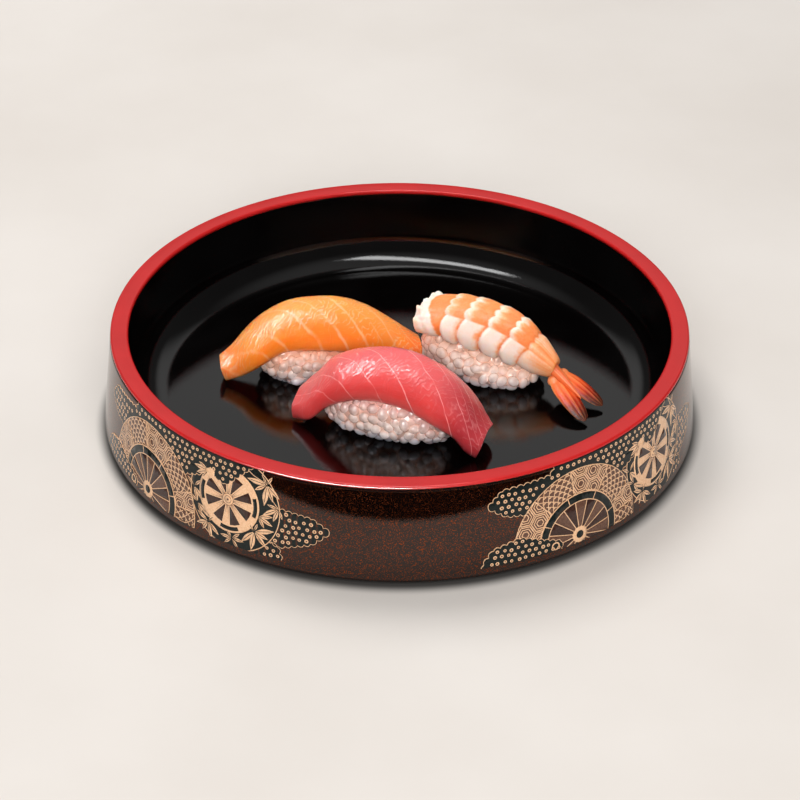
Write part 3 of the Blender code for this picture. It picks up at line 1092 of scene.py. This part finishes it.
def riceHeap(name, size, topping, tree, material, seed):
    halfLength, halfWidth, height, shiftAlong, shiftAcross = size
    inset = rice["inset"] / 10
    halfLength, halfWidth, height = halfLength - inset, halfWidth - inset, height - inset
    base = inset * 0.75
    stations, thick = topping["stations"], topping["thickness"]
    bm = bmesh.new()
    bmesh.ops.create_grid(bm, x_segments=60, y_segments=30, size=1.0)
    for vert in bm.verts:
        vert.co = drape(stations, (vert.co.x + 1) / 2, vert.co.y)
    above = BVHTree.FromBMesh(bm)
    bm.free()
    middle = Vector((shiftAlong, shiftAcross, height * 0.4))
    bm = bmesh.new()
    ball(bm, rice["segments"], rice["rows"])
    for vert in bm.verts:
        x, y, z = vert.co
        square = rice["squareness"]
        plan = (abs(x) ** square + abs(y) ** square) ** (1 / square)
        power = square if z > 0 else rice["baseSquareness"]
        boxy = (plan**power + abs(z) ** power) ** (-1 / power)
        rise = height - middle.z if z > 0 else middle.z - base
        spot = middle + Vector((x * halfLength, y * halfWidth, z * rise)) * boxy
        spot += Vector((x, y, 0.0)) * rice["bulge"] / 10 * (noise.noise(spot / 0.5) + 0.5)
        while above.find_nearest(spot)[3] < thick + rice["clear"] / 10:
            spot = middle.lerp(spot, 0.98)
        vert.co = spot
    bm.transform(placed(topping["place"]))
    heap = newObject(name, meshFrom(name, bm))
    values = {"Grain Length": rice["grainLength"] * mm, "Grain Width": rice["grainWidth"] * mm,
              "Grain Height": rice["grainHeight"] * mm, "Spacing": rice["spacing"] * mm,
              "Unevenness": 0.6 * mm, "Seed": seed, "Material": material}
    return nodesOn(heap, tree, values)


def paintBounceUnder(heap, topping):
    # how near each grain lies to the slice above it, kept as an attribute for painted light on the rice: the
    # slice's colour bounced onto the grains below it
    bm = bmesh.new()
    bm.from_mesh(topping.data)
    above = BVHTree.FromBMesh(bm)
    bm.free()
    mesh = heap.data
    tint = mesh.attributes.new("tint", "FLOAT", "POINT")
    values = [math.exp(-above.find_nearest(vert.co)[3] / (4.0 * mm)) for vert in mesh.vertices]
    tint.data.foreach_set("value", values)


def cookedRice(name, bounceColour):
    material, n, shader = newMaterial(name)
    where = n.objectPlace()
    cloud = n.noise(where, 420.0, 3.0)
    body = n.ramp(cloud, [(0.3, rgb(196, 176, 168)), (0.7, rgb(217, 202, 194))])
    tint = n.attribute("tint")
    # the lowest grains are painted greyer and bluer: a painted reflection of the dark lacquer floor round
    # them
    low = n.add("ShaderNodeSeparateXYZ", i0=where).outputs[2]
    body = n.mix(n.mapRange(low, 13 * mm, 21 * mm), rgb(200, 195, 202), body)
    # the grains' flanks and the core between them are painted a darker warm tan: painted shade in the gaps,
    # warmed as by light the grains scatter into them
    outward = n.attribute("outward")
    body = n.mix(n.mapRange(outward, -0.10, 0.60, 0.60, 0.0), body, rgb(206, 156, 134))
    # grains near the slice are painted in its colour: painted light that the slice bounces and lets through
    # onto the rice
    n.put(shader, "Base Color", n.mix(n.math("MULTIPLY", tint, 0.75), body, bounceColour))
    shader.subsurface_method = "BURLEY"  # the grains overlap inside
    n.set(
        shader, Subsurface_Weight=1.0, Subsurface_Radius=(1.0, 0.72, 0.6), Subsurface_Scale=0.007,
        Roughness=0.22, IOR=1.42, Coat_Weight=0.8, Coat_Roughness=0.08
    )
    n.put(shader, "Normal", n.add("ShaderNodeBump", Strength=0.06, Distance=0.0003, Height=cloud))
    return material


salmon = {
    "place": (-3.35, 1.75, 8.0),  # centimetres, centimetres, degrees
    "rice": (2.70, 1.55, 2.7, 0.05, -0.05),  # half length, half width, height, shift along, shift across
    "stations": (
        (-4.35, -0.25, 0.85, 0.75, 0.15, 0.15),
        (-3.75, -0.20, 1.25, 1.00, 0.35, 0.15),
        (-2.90, -0.10, 2.20, 1.45, 0.75, 0.10),
        (-1.80, 0.00, 2.98, 1.65, 1.05, 0.00),
        (-0.50, 0.00, 3.32, 1.75, 1.38, 0.00),
        (0.90, 0.00, 3.25, 1.75, 1.48, 0.00),
        (2.20, 0.00, 2.65, 1.60, 1.20, 0.00),
        (3.40, 0.05, 1.70, 1.30, 0.75, 0.00),
        (4.35, 0.10, 0.95, 0.95, 0.30, 0.00),
    ),
    "thickness": 0.55,
    "cellsAlong": 150,
    "cellsAcross": 70,
    "cornerRound": 0.12,
    "sideRound": 0.42,
    "endRound": 0.14,
    "seed": 3.0,
}
tuna = {
    "place": (-0.30, -2.65, -19.0),
    "rice": (2.78, 1.52, 2.9, 0.08, -0.04),
    "stations": (
        (-4.15, -0.35, 0.82, 0.85, 0.12, 0.18),
        (-3.55, -0.25, 1.40, 1.25, 0.48, 0.38),
        (-2.70, -0.05, 2.45, 1.50, 0.85, 0.30),
        (-1.60, 0.00, 3.15, 1.68, 1.18, 0.08),
        (-0.30, 0.00, 3.52, 1.75, 1.38, 0.00),
        (1.10, 0.00, 3.42, 1.75, 1.42, 0.00),
        (2.30, 0.00, 2.90, 1.75, 1.38, 0.00),
        (3.25, -0.10, 2.05, 1.55, 0.95, 0.00),
        (3.90, -0.30, 1.25, 1.35, 0.60, 0.05),
        (4.30, -0.45, 0.85, 1.10, 0.35, 0.10),
    ),
    "thickness": 0.55,
    "cellsAlong": 150,
    "cellsAcross": 70,
    "cornerRound": 0.10,
    "sideRound": 0.42,
    "endRound": 0.14,
    "seed": 11.0,
}


def fishFlesh(name, look):
    # flesh with pale fat lines that cross the slice aslant, and a wet skin wrinkled along its grain
    material, n, shader = newMaterial(name)
    flat = n.add("ShaderNodeUVMap", {"uv_map": "flat"}).outputs[0]
    parts = n.add("ShaderNodeSeparateXYZ", i0=flat)
    along, across = parts.outputs[0], parts.outputs[1]
    sway = n.noise(flat, 0.9, 3.0)
    phase = n.math("ADD", along, n.math("MULTIPLY", across, look["slant"]))
    phase = n.math("ADD", phase, n.math("MULTIPLY_ADD", sway, look["sway"], -look["sway"] / 2))
    lines = None
    for place, width, strength in look["lines"]:
        away = n.math("ABSOLUTE", n.math("SUBTRACT", phase, place))
        line = n.math("MULTIPLY", n.mapRange(away, width, width * 0.15, 0.0, 1.0), strength)
        lines = line if lines is None else n.math("MAXIMUM", lines, line)
    patchy = n.noise(flat, 1.7, 3.0)
    lines = n.math("MULTIPLY", lines, n.mapRange(patchy, 0.32, 0.6, 0.2, 1.0))
    mottle = n.noise(flat, 1.1, 4.0, 0.6)
    sideways = n.mapRange(
        n.math("ADD", across, n.math("MULTIPLY_ADD", mottle, 0.6, -0.3)), -1.7, look["lowUpTo"]
    )
    flesh = n.mix(sideways, look["low"], look["body"])
    # the right end is painted darker: painted shade, as where the salmon's end lies in the prawn's shadow
    rightward = n.math("ADD", along, n.math("MULTIPLY", mottle, 0.8))
    flesh = n.mix(n.mapRange(rightward, look["rightFrom"], look["rightFrom"] + 1.8), flesh, look["right"])
    flesh = n.mix(n.mapRange(n.math("ADD", along, mottle), -2.6, -4.0), flesh, look["left"])
    edge = n.mapRange(n.math("ABSOLUTE", across), look["edgeFrom"], look["edgeFrom"] + 0.35, 0.0, 0.4)
    flesh = n.mix(edge, flesh, look["thin"])
    stretched = n.add(
        "ShaderNodeMapping", Vector=flat, Rotation=(0, 0, look["grainTurn"]), Scale=(3.0, 34.0, 1.0)
    )
    fibre = n.noise(stretched, 1.0, 2.0)
    flesh = n.mix(n.mapRange(fibre, 0.45, 0.8, 0.0, 0.14), flesh, look["pale"])
    n.set(
        shader, Subsurface_Weight=look["subsurface"], Subsurface_Radius=look["radius"],
        Subsurface_Scale=0.005, Roughness=0.45, IOR=1.38, Coat_Roughness=0.05, Coat_IOR=1.6
    )
    # a wet film: fine waves that wander like wood grain, faint in the flesh and strong in the film
    wander = n.noise(flat, 1.3, 2.0)
    grain = look["grainTurn"]
    run = n.math(
        "ADD", n.math("MULTIPLY", along, math.sin(grain)), n.math("MULTIPLY", across, math.cos(grain))
    )
    phase = n.math("MULTIPLY_ADD", run, look["waves"], n.math("MULTIPLY", wander, look["wander"]))
    wave = n.math("SINE", n.math("MULTIPLY", phase, 2 * math.pi))
    crest = n.mapRange(n.noise(flat, 0.8, 2.0), 0.35, 0.65, 0.5, 1.0)
    broken = n.mapRange(n.noise(flat, 6.0, 1.0), 0.36, 0.56, 0.35, 1.0)
    wave = n.math("MULTIPLY", wave, n.math("MULTIPLY", crest, broken))
    wave = n.math(
        "MULTIPLY", wave, n.mapRange(n.math("MULTIPLY_ADD", wander, 1.5, across), -0.75, -0.05, 0.3, 1.0)
    )
    height = n.math("SUBTRACT", wave, n.math("MULTIPLY", lines, 0.5))
    n.put(shader, "Normal", n.add("ShaderNodeBump", Strength=0.4, Distance=look["wrinkle"], Height=height))
    n.put(
        shader, "Coat Normal", n.add("ShaderNodeBump", Strength=1.0, Distance=look["wrinkle"], Height=height)
    )
    n.put(shader, "Coat Weight", n.mapRange(wave, -0.6, 0.7, 0.35, 1.0))
    # pale lines painted on the wave crests: a painted glint of the wet film, in the flesh's colour
    flesh = n.mix(n.mapRange(wave, 0.10, 0.85, 0.0, look["glintShare"]), flesh, look["glint"])
    n.put(shader, "Base Color", n.mix(lines, flesh, look["fat"]))
    return material


salmonLook = {
    "slant": 0.98,
    "sway": 0.7,
    "lines": (
        (-4.7, 0.10, 0.4), (-4.0, 0.10, 0.5), (-3.2, 0.11, 0.6), (-1.84, 0.13, 0.8), (-0.69, 0.11, 0.9),
        (0.45, 0.12, 0.9), (1.3, 0.07, 0.4), (2.1, 0.10, 0.6), (3.4, 0.10, 0.5), (4.5, 0.10, 0.4)
    ),
    "low": rgb(255, 132, 34),
    "lowUpTo": 0.0,
    "body": rgb(255, 151, 66),
    # painted shade at the right end, in the prawn's shadow
    "right": rgb(250, 116, 36),
    "rightFrom": 3.0,
    "left": rgb(240, 122, 58),
    "thin": rgb(255, 140, 60),
    "edgeFrom": 1.35,
    "pale": rgb(255, 168, 104),
    "fat": rgb(255, 178, 128),
    "glint": rgb(255, 206, 160),
    "glintShare": 0.36,
    "grainTurn": -0.85,
    "subsurface": 0.85,
    "radius": (1.0, 0.38, 0.12),
    "wrinkle": 0.12 * mm,
    "waves": 5.5,
    "wander": 6.0,
}
tunaLook = {
    "slant": 1.3,
    "sway": 0.45,
    "lines": (
        (-4.2, 0.04, 0.4), (-3.4, 0.04, 0.6), (-2.2, 0.045, 0.7), (-0.76, 0.05, 0.9), (1.15, 0.045, 0.8),
        (2.4, 0.04, 0.7), (3.0, 0.035, 0.5), (3.6, 0.04, 0.6), (4.3, 0.035, 0.5), (4.9, 0.04, 0.5)
    ),
    "low": rgb(222, 66, 64),
    "lowUpTo": -0.2,
    "body": rgb(216, 92, 94),
    # painted shade at the right end
    "right": rgb(180, 52, 60),
    "rightFrom": 2.3,
    "left": rgb(206, 74, 74),
    "thin": rgb(240, 120, 112),
    "edgeFrom": 1.40,
    "pale": rgb(238, 124, 122),
    "fat": rgb(244, 168, 166),
    "glint": rgb(240, 160, 158),
    "glintShare": 0.24,
    "grainTurn": -0.9,
    "subsurface": 0.75,
    "radius": (1.0, 0.28, 0.22),
    "wrinkle": 0.12 * mm,
    "waves": 5.5,
    "wander": 6.0,
}


prawn = {
    "place": (3.65, 1.84, -29.0),
    "rice": (2.66, 1.62, 2.5, -0.04, -0.14),
    "stations": (
        (-2.95, -0.40, 2.50, 1.20, 0.45, 0.05),
        (-2.00, -0.10, 2.88, 1.55, 0.95, 0.00),
        (-0.70, 0.00, 3.14, 1.62, 1.38, 0.02),
        (0.80, 0.00, 3.06, 1.55, 1.44, 0.03),
        (2.00, -0.05, 2.66, 1.28, 1.36, 0.04),
        (3.00, -0.18, 1.98, 0.88, 0.92, 0.02),
        (3.60, -0.36, 1.50, 0.52, 0.50, 0.00),
    ),
    "thickness": 0.50,
    "cellsAlong": 230,
    "cellsAcross": 150,
    "ragged": 0.035,  # how unevenly the head end is cut, as part of the length
    "cornerRound": 0.34,
    "sideRound": 0.34,
    "endRound": 0.30,
    "seed": 7.0,
    "grooves": (-1.02, -0.57, -0.27, 0.03, 0.40, 1.02),  # lengthwise furrows, as parts of the half width
    # shell segments after the head's; where the first and the last one start at the side edges, as parts of
    # the length
    "segments": 5,
    "firstStart": 0.25,
    "lastStart": 0.68,
    "lengthening": 1.1,  # above 1, each segment is a little longer than the one before it
    "firstBow": -0.01,  # how much later the first one starts at the middle
    "moreBow": 0.02,  # and how much more so each one after it
    "shellFrom": 0.10,  # the head end is bare white meat up to here at the middle
    "shellFromSides": 0.13,  # and this much further at the side edges
    "scallop": 0.016,
    "relief": 0.10,
    "pinch": 0.07,
}


def between(places, values, x):
    # values read along places, in straight steps
    for (a, b), (low, high) in zip(zip(places, places[1:]), zip(values, values[1:])):
        if x <= b:
            return low + (high - low) * max(0.0, (x - a) / (b - a))
    return values[-1]


def segmentStart(k, a):
    # where shell segment k starts, as a part of the length
    share = (k / (prawn["segments"] - 1)) ** prawn["lengthening"]
    start = prawn["firstStart"] + (prawn["lastStart"] - prawn["firstStart"]) * share
    return start + (prawn["firstBow"] + prawn["moreBow"] * k) * (1 - a * a)


def shellFrom(a):
    # where the bare head end stops, as a part of the length
    return prawn["shellFrom"] + prawn["shellFromSides"] * a * a


def shellSpot(t, a):
    # which segment a spot lies in, how far along it from 0 to 1, and how far across its lobe from -1 to 1
    grooves = prawn["grooves"]
    lobe = max(i for i in range(len(grooves) - 1) if a >= grooves[i] or i == 0)
    low, high = grooves[lobe], grooves[lobe + 1]
    q = max(-1.0, min(1.0, (2 * a - low - high) / (high - low)))
    edges = [segmentStart(k, a) - prawn["scallop"] * (1 - q * q) for k in range(prawn["segments"])]
    edges = [-0.02] + edges + [1.02]
    segment = sum(t >= edge for edge in edges) - 1
    p = (t - edges[segment]) / (edges[segment + 1] - edges[segment])
    return segment, min(max(p, 0.0), 1.0), q, lobe


def shellRelief(t, a):
    # segments overlap like tiles, and swell between the lengthwise furrows
    segment, p, q, lobe = shellSpot(t, a)
    rise = smooth(0.0, 0.16, p) if segment else 1.0
    tile = rise * (1 - 0.72 * p**1.5)
    if segment == prawn["segments"]:
        tile = rise * (1 - 0.35 * p)
        ridge = 0.25 * math.exp(-((a + 0.27) / 0.10) ** 2) + 0.12 * math.exp(-((a + 0.62) / 0.08) ** 2)
        return prawn["relief"] * (tile * (1 - 0.12 * abs(q) ** 3) + ridge * p * 0.8 - 0.35)
    bare = shellFrom(a)
    lump = 0.0
    if t < bare:
        spot = Vector((t * 20, a * 4.2, 3.0))
        lump = (noise.noise(spot) + 0.5 * noise.noise(spot * 2.1) + 0.15) * 1.9 * smooth(bare, bare * 0.5, t)
    return prawn["relief"] * (tile * (0.50 + 0.50 * (1 - abs(q) ** 2.2)) + lump - 0.35)


def shellPinch(t, a):
    # the side edges draw in a little where two segments meet
    p = shellSpot(t, a)[1]
    return prawn["pinch"] * (1 - math.sin(math.pi * p)) ** 2 * abs(a) ** 4


def shellPaint(t, a, upper):
    # how orange a spot is, and how deep its groove line
    if not upper:
        return (0.15, 0.0, 0.0)
    segment, p, q, lobe = shellSpot(t, a)
    blot = noise.noise(Vector((t * 26, a * 7, 1.0))) + 0.5 * noise.noise(Vector((t * 60, a * 17, 4.0)))
    if segment == prawn["segments"]:
        streak = noise.noise(Vector((t * 3, a * 26, 9.0)))
        orange = 0.45 + 0.35 * p + 0.30 * streak + 0.4 * math.exp(-((a + 0.30) / 0.05) ** 2)
        orange *= smooth(-1.0, -0.45, a + 0.6 * p)
        return (max(0.05, orange), 0.35 * math.exp(-((a + 0.27) / 0.03) ** 2), 0.0)
    blot += 0.5 * noise.noise(Vector((t * 8, a * 34, 6.0)))
    if lobe == 0:
        orange = smooth(0.62, 1.25, p + 0.16 * blot) * smooth(-1.05, -0.55, a + 0.06 * blot + 0.25 * p)
    else:
        orange = 0.08 + 0.78 * smooth(0.08, 0.58, p + 0.16 * blot)
    deep = smooth(0.86, 1.0, p) * (0.9 if lobe in (0, 4) else 0.6) + 0.25 * smooth(0.9, 1.0, abs(q)) * p
    if segment == 0:
        start = shellFrom(a) + 0.012 * blot
        orange = 0.9 * smooth(start - 0.006, start + 0.012, t)
        deep = 0.5 * smooth(0.9, 1.0, p) + 0.5 * math.exp(-((t - start - 0.012) / 0.01) ** 2)
    return (orange, min(1.0, deep), 0.0)


def prawnShell():
    material, n, shader = newMaterial("prawnShell")
    where = n.objectPlace()
    tone = n.add("ShaderNodeSeparateColor", Color=n.attribute("tone", "Color"))
    fine = n.noise(where, 900.0, 4.0, 0.65)
    orange = n.math("ADD", tone.outputs[0], n.math("MULTIPLY_ADD", fine, 0.5, -0.25))
    colour = n.ramp(orange, [
        (0.0, rgb(240, 217, 205)), (0.25, rgb(243, 199, 172)), (0.6, rgb(244, 164, 112)),
        (0.95, rgb(240, 136, 70))
    ])
    colour = n.mix(n.math("MULTIPLY", tone.outputs[1], 0.85), colour, rgb(228, 110, 34))
    n.put(shader, "Base Color", colour)
    n.set(
        shader, Subsurface_Weight=1.0, Subsurface_Radius=(1.0, 0.7, 0.5), Subsurface_Scale=0.005,
        Roughness=0.5, Coat_Weight=0.22, Coat_Roughness=0.18
    )
    n.put(shader, "Normal", n.add("ShaderNodeBump", Strength=0.25, Distance=0.0005, Height=fine))
    return material


tail = {
    "root": Vector((3.55, -0.30, 1.05)),  # centimetres, beside the prawn's stations
    "tips": (Vector((5.66, -1.88, 0.18)), Vector((5.78, -0.50, 0.20))),
    "lobe": (0.44, 0.15),  # half width and half thickness
    # how wide and how thick a lobe is along its length, as parts of those
    "places": (0.0, 0.05, 0.10, 0.145, 0.19, 0.30, 0.42, 0.60, 0.80, 0.93, 1.0),
    "widths": (0.50, 0.74, 0.80, 0.74, 0.84, 0.98, 1.0, 0.98, 0.84, 0.58, 0.10),
    "depths": (0.90, 1.50, 1.55, 1.10, 1.10, 1.05, 1.0, 0.80, 0.50, 0.30, 0.10),
    "spikeTip": Vector((5.05, -1.05, 0.62)),
    "spike": (0.34, 0.20),
    "rings": 46,
    "sides": 36,
}


def lofted(bm, layer, root, tip, shape):
    # a closed body of rings from root to tip; shape gives each ring's half width, half thickness, sag, ridge
    # height and paint
    direction = tip - root
    side = direction.cross(Vector((0, 0, 1))).normalized()
    up = side.cross(direction).normalized()
    rings = []
    for i in range(tail["rings"]):
        s = (1 - math.cos(math.pi * i / (tail["rings"] - 1))) / 2
        width, thick, sag, ridge, paint = shape(s)
        ring = []
        for k in range(tail["sides"]):
            angle = 2 * math.pi * k / tail["sides"]
            q, z = math.cos(angle), math.sin(angle)
            ribs = math.exp(-(q / 0.13) ** 2) + 0.45 * math.exp(-((abs(q) - 0.52) / 0.10) ** 2)
            crest = ridge * ribs * max(z, 0.0)
            spot = root + direction * s + side * q * width + up * (z * thick + crest + sag)
            vert = bm.verts.new(spot)
            vert[layer] = (*paint(s, q, z), 1.0)
            ring.append(vert)
        rings.append(ring)
    for middle, ring in zip(skinned(bm, rings), (rings[0], rings[-1])):
        middle[layer] = ring[0][layer]


def tailLobe(s):
    # a round joint, a nick, then a long leaf that narrows to its tip
    width = between(tail["places"], tail["widths"], s) * tail["lobe"][0]
    thick = between(tail["places"], tail["depths"], s) * tail["lobe"][1]
    ridge = 0.04 * smooth(0.16, 0.26, s) * smooth(1.0, 0.8, s)

    def paint(s, q, z):
        dark = smooth(0.22, 0.98, s + 0.08 * noise.noise(Vector((s * 9, q * 3, 2.0))) + 0.10 * abs(q))
        line = math.exp(-(q / 0.05) ** 2) + math.exp(-((abs(q) - 0.52) / 0.04) ** 2) * 0.7
        # the edges are painted pale on the upper side only: a painted highlight
        edge = smooth(0.90, 0.99, abs(q)) * (1 - 0.6 * dark)
        pale = max(line * 0.7 * smooth(0.16, 0.24, s) * (1 - 0.5 * dark), edge) * (z > -0.2)
        return (dark, min(1.0, pale), 0.8 * smooth(0.20, 0.13, s))
    return width, thick, 0.05 * math.sin(math.pi * s), ridge, paint


def tailSpike(s):
    width = tail["spike"][0] * (1 - s) ** 0.8 + 0.01
    thick = tail["spike"][1] * (1 - s) ** 0.6 + 0.01

    def paint(s, q, z):
        return (0.12 + 0.25 * s, 0.8 * math.exp(-((abs(q) - 0.5) / 0.08) ** 2), 0.3)
    return width, thick, 0.03 * math.sin(math.pi * s), 0.05 * (1 - s), paint


def makePrawnTail():
    bm = bmesh.new()
    layer = bm.verts.layers.float_color.new("tone")
    for side, tip in zip((-1, 1), tail["tips"]):
        root = tail["root"] + Vector((-0.10, side * 0.25, -0.15))
        lofted(bm, layer, root, tip, tailLobe)
    lofted(bm, layer, tail["root"] - Vector((0.5, -0.05, -0.25)), tail["spikeTip"], tailSpike)
    bm.transform(placed(prawn["place"]))
    return newObject("prawnTail", meshFrom("prawnTail", bm))


def prawnTailShell():
    material, n, shader = newMaterial("prawnTailShell")
    where = n.objectPlace()
    tone = n.add("ShaderNodeSeparateColor", Color=n.attribute("tone", "Color"))
    fine = n.noise(where, 700.0, 4.0)
    dark = n.math("ADD", tone.outputs[0], n.math("MULTIPLY_ADD", fine, 0.3, -0.15))
    colour = n.ramp(
        dark,
        [(0.0, rgb(236, 106, 42)), (0.3, rgb(222, 74, 14)), (0.65, rgb(174, 36, 4)), (1.0, rgb(64, 13, 3))]
    )
    colour = n.mix(tone.outputs[2], colour, rgb(242, 146, 92))
    # pale ribs, and along the upper side's edges a painted highlight
    n.put(shader, "Base Color", n.mix(n.math("MULTIPLY", tone.outputs[1], 0.7), colour, rgb(250, 164, 104)))
    n.set(
        shader, Subsurface_Weight=0.2, Subsurface_Radius=(1.0, 0.4, 0.2), Subsurface_Scale=0.0012,
        Roughness=0.4, Coat_Weight=0.15, Coat_Roughness=0.15
    )
    n.put(shader, "Normal", n.add("ShaderNodeBump", Strength=0.2, Distance=0.0004, Height=fine))
    return material


def dress(piece, material, node=None):
    piece.data.materials.clear()
    piece.data.materials.append(material)
    piece.data.polygons.foreach_set("material_index", [0] * len(piece.data.polygons))
    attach(piece, "root")
    if node:
        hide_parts(node)


addCamera()
addWorld()
addTable()
addCard()
lamps = {name: addLight(name, *values) for name, values in studio["lamps"].items()}
print("camera, light and table")

tubBody, rimBand, wallLacquer = makeTub()
dress(tubBody, blackLacquer(), "tub")
dress(rimBand, redLacquer(), "tub")
dress(wallLacquer, speckledLacquer(), "tub")
print("tub")
for piece, finish in makePrint():
    dress(piece, finish, "tub")
    print(piece.name, len(piece.data.polygons))

grains = riceTree()
# the fourth value is the colour of the light that each slice bounces onto its rice, painted on the grains
for kind, topping, look, bounceColour, seed in (
    ("salmon", salmon, salmonLook, rgb(238, 160, 110), 4),
    ("tuna", tuna, tunaLook, rgb(226, 160, 150), 9),
):
    fish = slab(kind + "Slice", topping)
    cooked = cookedRice(kind + "RiceGrains", bounceColour)
    heap = riceHeap(kind + "Rice", topping["rice"], topping, grains, cooked, seed)
    paintBounceUnder(heap, fish)
    dress(fish, fishFlesh(kind + "Flesh", look), kind + "_slice")
    dress(heap, cooked, kind + "_rice")
    print(kind, "nigiri", len(heap.data.polygons))

prawnBody = slab("prawnBody", prawn, shellRelief, shellPaint, shellPinch)
prawnTail = makePrawnTail()
# the rice under the prawn is painted with the light the prawn bounces onto it
cooked = cookedRice("prawnRiceGrains", rgb(226, 178, 150))
heap = riceHeap("prawnRice", prawn["rice"], prawn, grains, cooked, 14)
paintBounceUnder(heap, prawnBody)
dress(prawnBody, prawnShell(), "prawn")
dress(prawnTail, prawnTailShell(), "prawn")
dress(heap, cooked, "prawn_rice")
print("prawn nigiri", len(heap.data.polygons))
food = [piece for piece in bpy.data.objects if piece.name.startswith(("salmon", "tuna", "prawn"))]
heaps = [piece for piece in food if piece.name.endswith("Rice")]
lightOnly(lamps["fishShine"], [piece for piece in food if piece.name.endswith(("Slice", "Body"))])
lightOnly(lamps["riceShine"], heaps)
lightOnly(lamps["rimShine"], [rimBand])

bpy.context.scene.view_settings.view_transform = "Standard"
